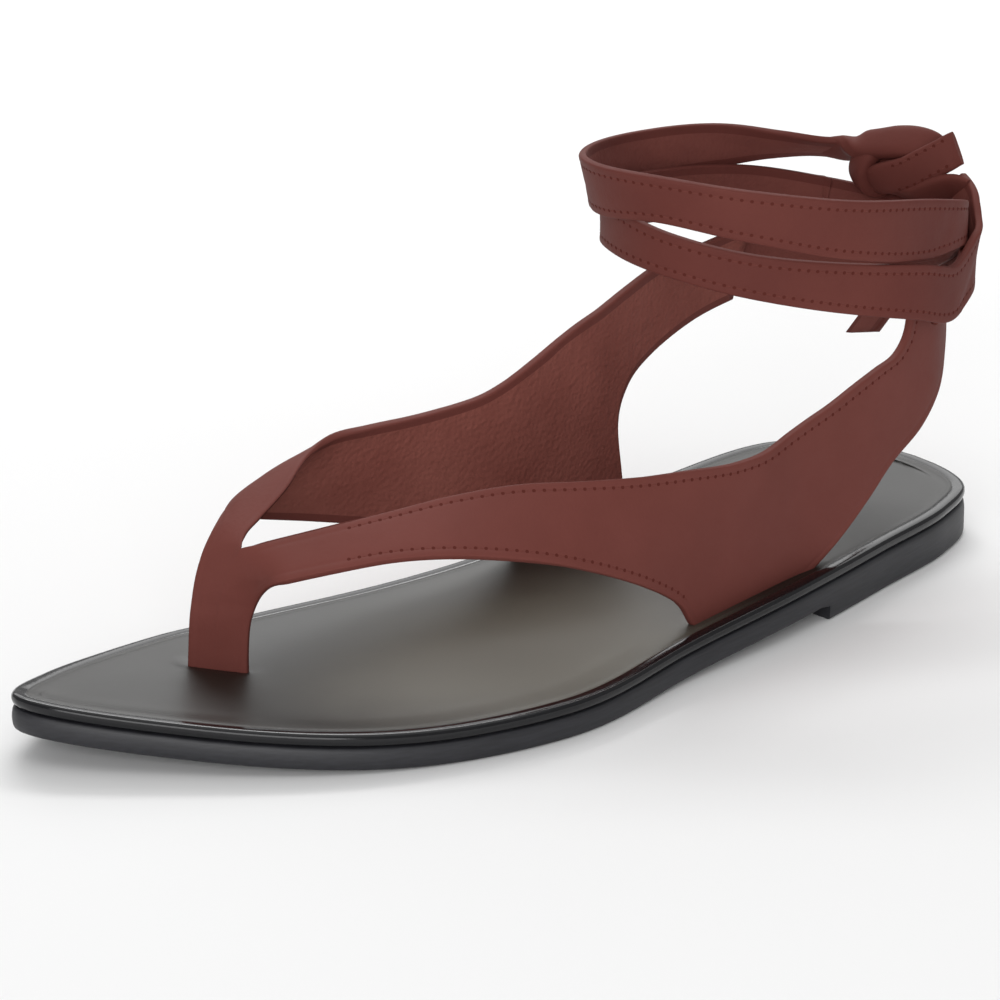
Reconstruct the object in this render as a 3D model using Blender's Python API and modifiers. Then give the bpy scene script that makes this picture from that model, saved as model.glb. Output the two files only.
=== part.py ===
"""Lace-up flat sandal, left foot.

A thong sandal: a flat sole with a low heel lift, a footbed, and one leather upper whose toe post splits
into an outer and an inner wing. The wings go into the sole at the waist and rise to two ties, which are
wound round the ankle and knotted behind it.

The shoe is laid out in millimetres on its last: across (plus is the outer side), along (from the back of
the heel to the toe) and up (from the floor). Only place() turns that into metres in the part's own frame,
with the toe towards -Y, the outer side towards +X and the floor at Z = 0.
"""

import math

import bmesh
import bpy
import numpy as np

# Driving sizes of the shoe, in millimetres
LENGTH = 255.0
BALL_WIDTH = 91.0
ANKLE_HEIGHT = 150.0
OUTSOLE = 5.2
INSOLE = 3.0
HEEL_LIFT = 3.6
TOE_SPRING = 6.8
WALL = 2.0
TIE = 1.8
GAP = 0.3

# Where the sole touches the floor, as shares of the length
HEEL_BREAST = 0.278
TREAD_BACK = 0.588
TREAD_FRONT = 0.714

# Middle of the finished shoe on the floor, which is the part's origin
ORIGIN_ACROSS = 0.6
ORIGIN_ALONG = 127.7

# Sole outline, anticlockwise from the back of the heel: across (share of BALL_WIDTH), along (of LENGTH)
OUTLINE = (
    (-0.014, 0.001), (0.204, 0.022), (0.297, 0.082), (0.357, 0.184), (0.429, 0.325), (0.456, 0.471),
    (0.505, 0.627), (0.368, 0.784), (0.055, 0.916), (-0.297, 1.000), (-0.423, 0.933), (-0.495, 0.788),
    (-0.456, 0.702), (-0.390, 0.584), (-0.319, 0.408), (-0.368, 0.224), (-0.357, 0.075), (-0.209, 0.018),
)

# Side profiles of the sole pieces, from the bottom up: inset from the outline and height, in millimetres
OUTSOLE_SIDE = ((1.0, 0.0), (0.2, 0.6), (0.0, 1.8), (0.1, 4.5), (0.6, OUTSOLE))
HEEL_SIDE = ((1.0, 0.0), (0.3, 0.6), (0.1, HEEL_LIFT - GAP))
INSOLE_SIDE = (
    (1.0, 0.0), (0.3, 0.5), (0.0, 1.3), (0.2, 2.0), (0.8, 2.7), (1.9, INSOLE), (3.2, 2.8), (4.2, 2.5),
)
INSOLE_DISH = 0.4
INSOLE_COLUMNS = 4
SOLE_STATIONS = 34
OUTLINE_SAMPLES = 1800

# Sections of the last: along (of LENGTH), then outer edge, inner edge and ridge (of BALL_WIDTH) and the
# ridge's height over the footbed (of ANKLE_HEIGHT)
LAST = (
    (0.039, 0.198, -0.220, 0.000, 1.000), (0.118, 0.324, -0.308, 0.000, 1.000),
    (0.216, 0.352, -0.319, 0.000, 0.987), (0.294, 0.350, -0.290, -0.011, 0.920),
    (0.361, 0.364, -0.272, -0.044, 0.773), (0.424, 0.374, -0.276, -0.088, 0.587),
    (0.490, 0.385, -0.314, -0.143, 0.440), (0.569, 0.407, -0.374, -0.220, 0.345),
    (0.647, 0.407, -0.423, -0.275, 0.280), (0.714, 0.352, -0.451, -0.297, 0.240),
    (0.769, 0.242, -0.451, -0.297, 0.200), (0.808, 0.132, -0.418, -0.275, 0.163),
)
OUTER_ROUNDNESS = 2.1
INNER_ROUNDNESS = 2.7

# Toe post, from the sole up to where it splits: its middle, outer side and inner side, each as across,
# along and up in millimetres
POST = (
    ((-21.8, 203.0, 6.3), (-16.0, 199.3, 6.3), (-27.4, 206.8, 6.3)),
    ((-21.7, 203.2, 12.0), (-16.0, 199.2, 12.0), (-27.3, 206.6, 12.0)),
    ((-21.0, 203.4, 20.0), (-15.2, 199.1, 19.0), (-27.3, 206.0, 20.0)),
    ((-19.8, 202.2, 28.0), (-13.0, 199.1, 25.0), (-27.6, 204.3, 27.5)),
    ((-17.3, 199.7, 36.6), (-8.5, 200.2, 29.8), (-28.2, 201.4, 33.5)),
)
POST_TURN = 33.0

# Ribs of the wings on the last: low along, low angle, top along, top angle. Along is in millimetres. The
# angle runs over a section from the outer edge of the footbed (0) by the ridge (90) to its inner edge
# (180), and IN_SOLE rows go down through a slot of the footbed.
OUTER_IN_SOLE = -1.0
INNER_IN_SOLE = 181.0
OUTER_WING = (
    (200.5, 60.0, 194.7, 74.7), (196.2, 57.6, 189.5, 71.4), (190.1, 55.1, 182.1, 67.5),
    (181.2, 51.3, 173.0, 63.9), (172.0, 46.2, 161.6, 59.0), (161.0, 37.9, 149.2, 51.3),
    (148.1, 27.4, 135.8, 40.7), (131.3, 14.2, 122.0, 30.5), (119.0, 5.6, 108.9, 22.0),
    (115.0, 2.6, 101.1, 17.9), (109.5, OUTER_IN_SOLE, 95.0, 15.5), (92.0, OUTER_IN_SOLE, 86.4, 13.6),
    (75.5, OUTER_IN_SOLE, 77.5, 13.2), (64.0, 0.9, 71.6, 13.4), (53.6, 3.6, 65.0, 13.7),
    (44.7, 6.1, 56.4, 14.5), (32.8, 8.2, 49.1, 15.2), (24.4, 10.6, 42.8, 15.7),
    (19.0, 13.6, 38.5, 17.1), (17.3, 17.1, 36.6, 19.4), (17.8, 21.1, 35.7, 22.9),
)
INNER_WING = (
    (195.1, 96.5, 195.8, 82.2), (185.8, 134.0, 191.5, 83.5), (181.0, 142.8, 182.0, 86.0),
    (176.0, 149.0, 171.5, 92.0), (165.0, 158.0, 161.0, 112.0), (152.0, 166.0, 150.0, 129.0),
    (138.1, 171.9, 136.1, 141.8), (124.4, 175.8, 119.3, 152.3), (115.5, 178.6, 106.9, 156.8),
    (112.2, 179.5, 99.2, 159.4), (109.0, INNER_IN_SOLE, 95.3, 160.5), (92.0, INNER_IN_SOLE, 85.9, 162.6),
    (76.0, INNER_IN_SOLE, 77.9, 163.6), (77.0, 178.8, 74.5, 163.7), (78.6, 175.3, 70.4, 163.8),
    (75.1, 172.8, 63.2, 164.0), (66.8, 171.6, 55.0, 164.0), (51.8, 170.5, 46.0, 164.0),
    (38.5, 169.8, 34.0, 163.5),
)
WING_ACROSS = 5
WING_STEPS = 3

# Ankle: an oval column, and the ties wound on it. Each row: turn (degrees, 0 in front, 90 outside, 180
# behind), reach out from the column, height, width and lean out of the top edge (degrees)
ANKLE_ALONG = 52.0
ANKLE_HALF_WIDTH = 34.0
ANKLE_HALF_DEPTH = 46.0
INNER_TIE = (
    (254.0, -3.1, 61.5, 13.0, 0.0), (238.0, -1.0, 62.0, 13.0, 0.0), (215.0, 0.0, 63.0, 13.0, 0.0),
    (185.0, 0.0, 66.0, 13.0, 0.0), (160.0, -0.8, 71.5, 12.6, 0.0), (135.0, 1.2, 80.5, 10.2, 0.0),
    (105.0, 0.6, 85.5, 14.0, 0.0), (75.0, 3.0, 91.2, 13.6, 3.0), (45.0, 3.3, 96.9, 12.2, 8.0),
    (15.0, 3.0, 99.9, 11.6, 13.0), (-15.0, 2.6, 97.8, 13.0, 14.0), (-45.0, 2.4, 94.8, 12.5, 10.0),
    (-80.0, 2.8, 91.2, 12.0, 5.0), (-105.0, 2.5, 89.5, 11.0, 0.0), (-128.0, 2.5, 87.8, 8.5, -30.0),
    (-142.0, 3.0, 86.8, 7.5, -45.0), (-150.5, 3.0, 86.4, 7.0, -35.0),
)
OUTER_TIE = (
    (118.0, -0.3, 65.3, 11.5, 0.0), (132.0, 2.4, 65.8, 11.5, 0.0), (150.0, 3.0, 67.6, 12.0, 0.0),
    (180.0, 3.0, 69.5, 12.5, 0.0), (215.0, 2.5, 73.0, 12.5, 0.0), (245.0, 0.8, 78.0, 12.5, 0.0),
    (275.0, 0.0, 81.5, 12.5, 0.0), (305.0, -0.5, 85.0, 12.0, 0.0), (340.0, -1.5, 87.8, 12.0, 3.0),
    (375.0, -1.0, 86.0, 10.4, 5.0), (405.0, 0.0, 82.1, 10.4, 5.0), (435.0, 0.8, 77.0, 11.6, 0.0),
    (460.0, 3.2, 72.2, 12.8, 0.0), (477.0, 4.0, 68.0, 13.0, 0.0), (487.0, 4.6, 69.3, 12.5, 0.0),
    (497.0, 5.4, 73.0, 12.0, 5.0), (505.0, 5.0, 76.7, 10.0, 10.0), (513.0, 4.8, 79.8, 8.0, 12.0),
    (522.0, 4.5, 82.4, 6.8, 8.0),
)
# Knot behind the ankle: turn, reach, height, half depth and half height of its sections
KNOT = (
    (208.0, 3.0, 86.5, 1.5, 2.5), (203.0, 3.0, 86.2, 4.0, 5.0), (196.0, 3.0, 85.8, 5.5, 6.6),
    (187.0, 3.0, 85.6, 6.0, 7.2), (177.0, 3.0, 85.6, 6.0, 7.2), (169.5, 3.5, 85.3, 5.0, 6.4),
    (164.0, 4.5, 84.5, 2.5, 4.5),
)
KNOT_SIDES = 14
KNOT_SQUARENESS = 0.8
# Strap across the knot's front, ending in a tab, as a tie
KNOT_TAB = (
    (198.0, -1.0, 81.5, 8.0, -10.0), (189.0, -3.0, 83.5, 8.5, -5.0), (178.0, -3.0, 86.0, 8.5, 0.0),
    (170.0, -1.0, 88.6, 8.2, 0.0), (164.0, 1.8, 91.0, 7.8, 0.0), (160.0, 4.2, 92.8, 7.7, 0.0),
)
# End that hangs from the knot: middle as across, along and up
TIE_END = ((1.0, 0.6, 78.0), (-2.5, 0.5, 66.0), (-9.0, 1.2, 53.0), (-17.5, 3.0, 39.5))
TIE_END_WIDTH = 11.5
TIE_ACROSS = 2
TIE_STEPS = 4

# Slots of the footbed where the wings pass: corners as across, along and up, and turn in degrees
CUT_DEPTH = 12.0
WING_SLOTS = (
    ("outer_slot", (30.1, 67.0, 0.0), (33.5, 113.2, 2.0 * CUT_DEPTH), 3.2),
    ("inner_slot", (-26.1, 75.3, 0.0), (-22.3, 113.0, 2.0 * CUT_DEPTH), 2.0),
)

LEATHER_BROWN = (0.155, 0.052, 0.043, 1.0)
FOOTBED_BLACK = (0.035, 0.034, 0.032, 1.0)
SOLE_BLACK = (0.022, 0.022, 0.025, 1.0)


def place(points):
    """Millimetres on the last to metres in the part's frame."""
    across, along, up = np.moveaxis(np.asarray(points, float), -1, 0)
    return np.stack([across - ORIGIN_ACROSS, ORIGIN_ALONG - along, up], -1) / 1000.0


def smooth_step(share):
    share = np.clip(share, 0.0, 1.0)
    return share * share * (3.0 - 2.0 * share)


def ground(along):
    """Height of the outsole's underside over the floor: heel lift, flat tread and toe spring."""
    share = np.asarray(along, float) / LENGTH
    arch = smooth_step((TREAD_BACK - share) / (TREAD_BACK - HEEL_BREAST))
    toe = np.clip((share - TREAD_FRONT) / (1.0 - TREAD_FRONT), 0.0, 1.0)
    return HEEL_LIFT * arch + TOE_SPRING * toe ** 2


def hermite(y0, y1, slope0, slope1, span, share):
    """Cubic between two rows with given slopes."""
    rest = 1.0 - share
    return (y0 * (1.0 + 2.0 * share) * rest ** 2 + slope0 * span * share * rest ** 2
            + y1 * share ** 2 * (3.0 - 2.0 * share) - slope1 * span * share ** 2 * rest)


def section_at(along):
    """Outer edge, inner edge, ridge and height of the last in millimetres, with no overshoot."""
    rows = np.array(LAST)
    keys = rows[:, 0] * LENGTH
    values = rows[:, 1:] * (BALL_WIDTH, BALL_WIDTH, BALL_WIDTH, ANKLE_HEIGHT)
    spans = np.diff(keys)[:, None]
    steps = np.diff(values, axis=0) / spans
    turning = steps[:-1] * steps[1:] <= 0.0
    safe_sum = np.where(turning, 1.0, steps[:-1] + steps[1:])
    inner = np.where(turning, 0.0, 2.0 * steps[:-1] * steps[1:] / safe_sum)
    slopes = np.vstack([steps[:1], inner, steps[-1:]])
    along = np.clip(along, keys[0], keys[-1])
    row = np.clip(np.searchsorted(keys, along, side="right") - 1, 0, len(keys) - 2)
    share = ((along - keys[row]) / spans[row, 0])[..., None]
    shape = hermite(values[row], values[row + 1], slopes[row], slopes[row + 1], spans[row], share)
    return np.moveaxis(shape, -1, 0)


def last_point(along, angle):
    """Points of the last's surface; past the footbed's edges they go down to the outsole."""
    along = np.asarray(along, float)
    angle = np.asarray(angle, float)
    outer, inner, ridge, height = section_at(along)
    turn = np.radians(np.clip(angle, 0.0, 180.0))
    side = np.cos(turn)
    power = 2.0 / np.where(side > 0.0, OUTER_ROUNDNESS, INNER_ROUNDNESS)
    half = np.where(side > 0.0, outer - ridge, ridge - inner)
    sunk = INSOLE * np.clip(np.maximum(-angle, angle - 180.0), 0.0, 1.0)
    up = ground(along) + OUTSOLE + GAP + INSOLE + height * np.abs(np.sin(turn)) ** power - sunk
    return np.stack([ridge + np.sign(side) * half * np.abs(side) ** power, along, up], -1)


def curve_through(rows, steps):
    """Smooth curve through the rows of a table, with a number of steps between two rows."""
    rows = np.asarray(rows, float)
    spans = np.maximum(np.linalg.norm(np.diff(rows, axis=0), axis=1), 0.001)[:, None] ** 0.5
    slopes = np.diff(rows, axis=0) / spans
    inner = (slopes[:-1] * spans[1:] + slopes[1:] * spans[:-1]) / (spans[:-1] + spans[1:])
    first = 1.5 * slopes[:1] - 0.5 * inner[:1]
    last = 1.5 * slopes[-1:] - 0.5 * inner[-1:]
    tangents = np.vstack([first, inner, last])
    points = []
    for row in range(len(rows) - 1):
        for step in range(steps):
            points.append(hermite(rows[row], rows[row + 1], tangents[row], tangents[row + 1], spans[row],
                                  step / steps))
    points.append(rows[-1])
    return np.array(points)


def closed_outline(samples):
    """Closed curve through the outline's points, as across and along in millimetres."""
    knots = np.array(OUTLINE) * (BALL_WIDTH, LENGTH)
    count = len(knots)
    wrapped = np.vstack([knots[-3:], knots, knots[:4]])
    steps = math.ceil(samples / count)
    return curve_through(wrapped, steps)[3 * steps:(3 + count) * steps]


def sole_ring():
    """Outline points in pairs at the same station: up the outer side to the toe, down the inner side."""
    dense = closed_outline(OUTLINE_SAMPLES)
    toe = int(np.argmax(dense[:, 1]))
    heel = int(np.argmin(dense[:, 1]))
    dense = np.roll(dense, -heel, axis=0)
    toe = (toe - heel) % len(dense)
    outer, inner = dense[:toe + 1], np.vstack([dense[toe:], dense[:1]])[::-1]
    share = (1.0 - np.cos(np.linspace(0.0, math.pi, SOLE_STATIONS + 2))) / 2.0
    along = dense[0, 1] + share * (dense[toe, 1] - dense[0, 1])
    outer_side = np.stack([np.interp(along, outer[:, 1], outer[:, 0]), along], -1)
    inner_side = np.stack([np.interp(along, inner[:, 1], inner[:, 0]), along], -1)
    return np.vstack([outer_side, inner_side[-2:0:-1]])


def inset_ring(ring, inset):
    """The ring moved inwards along its normals."""
    tangent = np.roll(ring, -1, axis=0) - np.roll(ring, 1, axis=0)
    tangent /= np.linalg.norm(tangent, axis=1)[:, None]
    return ring + inset * np.stack([-tangent[:, 1], tangent[:, 0]], -1)


def material(name, color, roughness):
    """Plain Principled material."""
    made = bpy.data.materials.get(name) or bpy.data.materials.new(name)
    made.use_nodes = True
    shader = made.node_tree.nodes["Principled BSDF"]
    shader.inputs["Base Color"].default_value = color
    shader.inputs["Roughness"].default_value = roughness
    made.diffuse_color = color
    return made


def add_object(name, mesh_builder, look, collection):
    """Mesh object from a filled bmesh, with its normals pointing out."""
    bmesh.ops.recalc_face_normals(mesh_builder, faces=mesh_builder.faces)
    mesh = bpy.data.meshes.new(name)
    mesh_builder.to_mesh(mesh)
    mesh_builder.free()
    mesh.materials.append(look)
    mesh.shade_smooth()
    mesh.set_sharp_from_angle(angle=math.radians(40.0))
    made = bpy.data.objects.new(name, mesh)
    collection.objects.link(made)
    return made


def add_grid(mesh_builder, points):
    """Quads over a grid of points in millimetres, rows by columns."""
    verts = [[mesh_builder.verts.new(point) for point in row] for row in place(points)]
    for row, following in zip(verts, verts[1:]):
        for column in range(len(row) - 1):
            mesh_builder.faces.new((row[column], row[column + 1], following[column + 1], following[column]))
    return verts


def add_sole(name, side, base, top_columns, dish, look, collection):
    """Closed sole layer: its side profile swept round the outline, with ruled top and bottom."""
    ring = sole_ring()
    builder = bmesh.new()
    loops = []
    for inset, height in side:
        flat = inset_ring(ring, inset)
        up = ground(flat[:, 1]) + base + height
        loops.append(np.column_stack([flat, up]))
    rings = [[builder.verts.new(point) for point in place(loop)] for loop in loops]
    count = len(ring)
    for lower, upper in zip(rings, rings[1:]):
        for here in range(count):
            ahead = (here + 1) % count
            builder.faces.new((lower[here], lower[ahead], upper[ahead], upper[here]))
    rule_across(builder, rings[0], loops[0], 1, 0.0)
    rule_across(builder, rings[-1], loops[-1], top_columns, dish)
    return add_object(name, builder, look, collection)


def rule_across(builder, ring_verts, loop, columns, dish):
    """Face inside a ring: rows across the shoe from the inner to the outer side, hollowed by the dish."""
    half = len(ring_verts) // 2
    rows = [[ring_verts[0]]]
    for station in range(1, half):
        inner, outer = len(ring_verts) - station, station
        row = [ring_verts[inner]]
        for column in range(1, columns):
            share = column / columns
            point = loop[inner] + share * (loop[outer] - loop[inner])
            point[2] -= dish * 4.0 * share * (1.0 - share)
            row.append(builder.verts.new(place(point)))
        rows.append(row + [ring_verts[outer]])
    rows.append([ring_verts[half]])
    for row, following in zip(rows, rows[1:]):
        for column in range(columns):
            near = [row[min(column + side, len(row) - 1)] for side in (0, 1)]
            far = [following[min(column + side, len(following) - 1)] for side in (1, 0)]
            builder.faces.new(dict.fromkeys(near + far))


def add_heel(look, collection):
    """Heel lift: the outline behind the breast, flat above and below."""
    breast = HEEL_BREAST * LENGTH
    ring = sole_ring()
    builder = bmesh.new()
    rings = []
    for inset, height in HEEL_SIDE:
        flat = inset_ring(ring, inset)
        outer = flat[:len(flat) // 2 + 1]
        inner = np.vstack([flat[len(flat) // 2:], flat[:1]])[::-1]
        arc = [point for point in inner[::-1] if point[1] < breast - 1.0]
        arc += [point for point in outer[1:] if point[1] < breast - 1.0]
        corners = [(np.interp(breast, side[:, 1], side[:, 0]), breast) for side in (inner, outer)]
        points = [corners[0]] + [tuple(point) for point in arc] + [corners[1]]
        rings.append([builder.verts.new(place((across, along, height))) for across, along in points])
    for lower, upper in zip(rings, rings[1:]):
        for here in range(len(lower)):
            ahead = (here + 1) % len(lower)
            builder.faces.new((lower[here], lower[ahead], upper[ahead], upper[here]))
    builder.faces.new(rings[0])
    builder.faces.new(rings[-1])
    return add_object("heel", builder, look, collection)


def wing_grid(wing, post_side):
    """Grid of one half of the upper: up the post beside its middle line, then over the last."""
    shares = np.linspace(0.0, 1.0, WING_ACROSS + 1)[:, None]
    rows = []
    for middle, *sides in np.array(POST):
        low = sides[0] if post_side > 0 else sides[1]
        rows.append(low + shares * (middle - low))
    for low_along, low_angle, top_along, top_angle in wing:
        along = low_along + shares[:, 0] * (top_along - low_along)
        angle = low_angle + shares[:, 0] * (top_angle - low_angle)
        rows.append(last_point(along, angle))
    flat = curve_through(np.reshape(rows, (len(rows), -1)), WING_STEPS)
    grid = flat.reshape(len(flat), WING_ACROSS + 1, 3)
    post_line = curve_through([middle for middle, _, _ in POST], WING_STEPS)
    crotch_on = np.array(rows)[len(POST) - 1:, -1]
    top_line = np.vstack([post_line, curve_through(crotch_on, WING_STEPS)[1:]])
    grid += (top_line - grid[:, -1])[:, None] * shares ** 2
    grid[..., 2] = np.maximum(grid[..., 2], ground(grid[..., 1]) + OUTSOLE + GAP)
    return grid


def solidify(made, thickness, offset):
    """Give an open sheet its thickness."""
    wall = made.modifiers.new("wall", "SOLIDIFY")
    wall.thickness = thickness / 1000.0
    wall.offset = offset
    return made


def add_upper(look, collection):
    """Toe post and both wings as one wall, whose outer face lies on the last's surface."""
    builder = bmesh.new()
    add_grid(builder, wing_grid(OUTER_WING, 1))
    add_grid(builder, wing_grid(INNER_WING, -1)[:, ::-1])
    bmesh.ops.remove_doubles(builder, verts=builder.verts, dist=0.00001)
    return solidify(add_object("upper", builder, look, collection), WALL, -1.0)


def ankle_point(turn, reach, up):
    """Point beside the ankle's oval column."""
    angle = np.radians(turn)
    normal = np.stack([np.sin(angle) / ANKLE_HALF_WIDTH, np.cos(angle) / ANKLE_HALF_DEPTH], -1)
    normal /= np.linalg.norm(normal, axis=-1)[..., None]
    across = ANKLE_HALF_WIDTH * np.sin(angle) + normal[..., 0] * reach
    along = ANKLE_ALONG + ANKLE_HALF_DEPTH * np.cos(angle) + normal[..., 1] * reach
    return np.stack([across, along, up], -1)


def strap_frame(path):
    """Directions along, up and out of a strap that runs along the path round the ankle."""
    forward = np.gradient(path, axis=0)
    forward /= np.linalg.norm(forward, axis=1)[:, None]
    upward = np.array([0.0, 0.0, 1.0]) - forward * forward[:, 2:]
    upward /= np.linalg.norm(upward, axis=1)[:, None]
    outward = np.cross(forward, upward)
    away = (path - (0.0, ANKLE_ALONG, 0.0))[:, :2]
    outward *= np.sign(np.sum(outward[:, :2] * away, axis=1))[:, None]
    return forward, upward, outward


def tie_grid(table):
    """Middle sheet of a tie, across its width."""
    rows = np.array(table)
    per_degree = math.radians((ANKLE_HALF_WIDTH + ANKLE_HALF_DEPTH) / 2.0)
    rows[:, 0] *= per_degree
    dense = curve_through(rows, TIE_STEPS)
    path = ankle_point(dense[:, 0] / per_degree, dense[:, 1], dense[:, 2])
    _, upward, outward = strap_frame(path)
    lean = np.radians(dense[:, 4:])
    sideways = upward * np.cos(lean) + outward * np.sin(lean)
    shares = np.linspace(-0.5, 0.5, TIE_ACROSS + 1)
    return np.stack([path + sideways * dense[:, 3:4] * share for share in shares], 1)


def add_tie(name, table, look, collection):
    """Flat strap wound round the ankle."""
    builder = bmesh.new()
    add_grid(builder, tie_grid(table))
    return solidify(add_object(name, builder, look, collection), TIE, 0.0)


def add_lump(builder, sections):
    """Closed loft through rounded sections: middle, half depth and half height."""
    turns = np.linspace(0.0, 2.0 * math.pi, KNOT_SIDES, endpoint=False)
    rings = []
    for turn, reach, up, half_depth, half_height in sections:
        deep = np.sign(np.cos(turns)) * np.abs(np.cos(turns)) ** KNOT_SQUARENESS
        high = np.sign(np.sin(turns)) * np.abs(np.sin(turns)) ** KNOT_SQUARENESS
        points = ankle_point(np.full(KNOT_SIDES, turn), reach + half_depth * deep, up + half_height * high)
        rings.append([builder.verts.new(point) for point in place(points)])
    for ring, following in zip(rings, rings[1:]):
        for here in range(KNOT_SIDES):
            ahead = (here + 1) % KNOT_SIDES
            builder.faces.new((ring[here], ring[ahead], following[ahead], following[here]))
    builder.faces.new(rings[0])
    builder.faces.new(rings[-1])


def add_knot(look, collection, cutters):
    """Overhand knot: the turned lump, with the strap that crosses it and ends in a short tab."""
    builder = bmesh.new()
    add_lump(builder, KNOT)
    knot = add_object("knot", builder, look, collection)
    builder = bmesh.new()
    add_grid(builder, tie_grid(KNOT_TAB))
    tab = solidify(add_object("knot_tab", builder, look, cutters), TIE, 0.0)
    hide(tab)
    join = knot.modifiers.new("tab", "BOOLEAN")
    join.operation = "UNION"
    join.object = tab
    return knot


def add_tie_end(look, collection):
    """The end that hangs straight down behind the ankle."""
    route = curve_through(TIE_END, TIE_STEPS)
    half = np.array([TIE_END_WIDTH / 2.0, 0.0, 0.0])
    builder = bmesh.new()
    add_grid(builder, np.stack([route - half, route, route + half], 1))
    return solidify(add_object("tie_end", builder, look, collection), TIE, 0.0)


def hide(guide):
    """A guide or cutter is not a piece of the shoe."""
    guide.hide_render = True
    guide.display_type = "WIRE"


def add_cutter(name, low, high, turn, look, cutters):
    """Box on the last between two corners, turned about its middle."""
    low, high = np.array(low), np.array(high)
    builder = bmesh.new()
    bmesh.ops.create_cube(builder, size=1.0)
    box = add_object(name, builder, look, cutters)
    box.scale = (high - low) / 1000.0
    box.location = place((low + high) / 2.0)
    box.rotation_euler.z = math.radians(turn)
    hide(box)
    return box


def add_insole(look, collection, cutters):
    """Footbed with a slot at each side for a wing and one for the toe post."""
    insole = add_sole("insole", INSOLE_SIDE, OUTSOLE + GAP, INSOLE_COLUMNS, INSOLE_DISH, look, collection)
    middle, outer, inner = np.array(POST[0])
    width = np.linalg.norm(outer - inner) + 2.0 * GAP
    turn = math.radians(POST_TURN)
    middle -= np.array([math.sin(turn), math.cos(turn), 0.0]) * WALL / 2.0
    half = np.array([width, WALL + 2.0 * GAP, 2.0 * CUT_DEPTH]) / 2.0
    cuts = [add_cutter("cut_" + name, low, high, slant, look, cutters)
            for name, low, high, slant in WING_SLOTS]
    cuts.append(add_cutter("cut_post_slot", middle - half, middle + half, POST_TURN, look, cutters))
    for cutter in cuts:
        cut = insole.modifiers.new(cutter.name, "BOOLEAN")
        cut.operation = "DIFFERENCE"
        cut.object = cutter
    return insole


def build():
    for old in list(bpy.data.objects):
        bpy.data.objects.remove(old, do_unlink=True)
    pieces = bpy.data.collections.new("lace_up_flat_sandal")
    cutters = bpy.data.collections.new("cutters")
    for collection in (pieces, cutters):
        bpy.context.scene.collection.children.link(collection)
    leather = material("brown_leather", LEATHER_BROWN, 0.5)
    footbed = material("black_footbed_leather", FOOTBED_BLACK, 0.35)
    sole = material("black_sole", SOLE_BLACK, 0.6)
    add_sole("outsole", OUTSOLE_SIDE, 0.0, 1, 0.0, sole, pieces)
    add_heel(sole, pieces)
    add_insole(footbed, pieces, cutters)
    add_upper(leather, pieces)
    add_tie("ankle_tie_inner", INNER_TIE, leather, pieces)
    add_tie("ankle_tie_outer", OUTER_TIE, leather, pieces)
    add_knot(leather, pieces, cutters)
    add_tie_end(leather, pieces)


build()
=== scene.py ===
# %% [markdown]
# # A lace-up flat sandal, dressed for the camera
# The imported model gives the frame: every solid of the left sandal at its real size. This lesson swaps
# each plain solid for a finer piece of the same form, made from the same tables of sizes, with a few rows
# of the inner wing and the ties moved by two or three millimetres, and gives it leather, thread and sole
# finishes. Lengths in the tables are in millimetres, on the shoe's last.

import math

import bmesh
import bpy
import numpy as np
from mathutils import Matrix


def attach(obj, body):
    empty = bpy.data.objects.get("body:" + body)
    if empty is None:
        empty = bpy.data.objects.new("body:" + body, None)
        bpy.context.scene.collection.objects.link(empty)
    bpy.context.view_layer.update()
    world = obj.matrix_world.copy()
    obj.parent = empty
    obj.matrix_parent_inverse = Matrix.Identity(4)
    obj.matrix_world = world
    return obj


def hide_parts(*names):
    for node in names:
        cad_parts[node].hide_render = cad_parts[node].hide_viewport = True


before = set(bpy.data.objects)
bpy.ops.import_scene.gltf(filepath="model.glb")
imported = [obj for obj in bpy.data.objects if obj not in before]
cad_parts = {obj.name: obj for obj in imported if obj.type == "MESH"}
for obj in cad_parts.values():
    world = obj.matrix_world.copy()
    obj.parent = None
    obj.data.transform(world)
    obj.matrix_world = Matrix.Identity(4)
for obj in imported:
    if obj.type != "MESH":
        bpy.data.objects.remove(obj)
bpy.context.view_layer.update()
scene = bpy.context.scene
print("CAD nodes:", sorted(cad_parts))

# %% [markdown]
# ## The camera
# The photograph was taken from the outer front side with a long lens, a little above the shoe. A long
# lens far away keeps the sole's edges almost parallel, so the camera stands over a metre off. A
# constraint could aim it; plain numbers were chosen, because they can be matched to the photograph one by
# one.

# %% Camera at the photograph's angle
ORIGIN_ACROSS = 0.6
ORIGIN_ALONG = 127.7
CAMERA_ON_LAST = (832.9, 926.3, 470.2)
CAMERA_ELEVATION = 20.716
CAMERA_AZIMUTH = 46.6
SENSOR_MM = 36.0
LENS_MM = 199.617
FARTHEST_SEEN = 30.0


def place(points):
    """Last (across, along, up) to the part's own axes, still in millimetres: the toe is towards -Y."""
    across, along, up = np.moveaxis(np.asarray(points, float), -1, 0)
    return np.stack([across - ORIGIN_ACROSS, ORIGIN_ALONG - along, up], -1)


lens = bpy.data.cameras.new("studio_camera")
lens.sensor_width = SENSOR_MM
lens.lens = LENS_MM
lens.clip_end = FARTHEST_SEEN
camera = bpy.data.objects.new("studio_camera", lens)
camera.location = place(CAMERA_ON_LAST) / 1000.0
camera.rotation_euler = (math.radians(90.0 - CAMERA_ELEVATION), 0.0, math.radians(CAMERA_AZIMUTH))
scene.collection.objects.link(camera)
scene.camera = camera
scene.view_settings.view_transform = "Standard"
print("camera at", tuple(round(value, 3) for value in camera.location))

# %% [markdown]
# ## Curves through tables
# A shoemaker works from a few sections and lets the material fair itself between them. Blender's curve
# objects do that for points. A smooth curve through the rows of a short table was chosen, because a row
# can also hold a width, an angle or a thickness. It is made of cubic pieces whose slopes come from the
# neighbouring rows.

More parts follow.
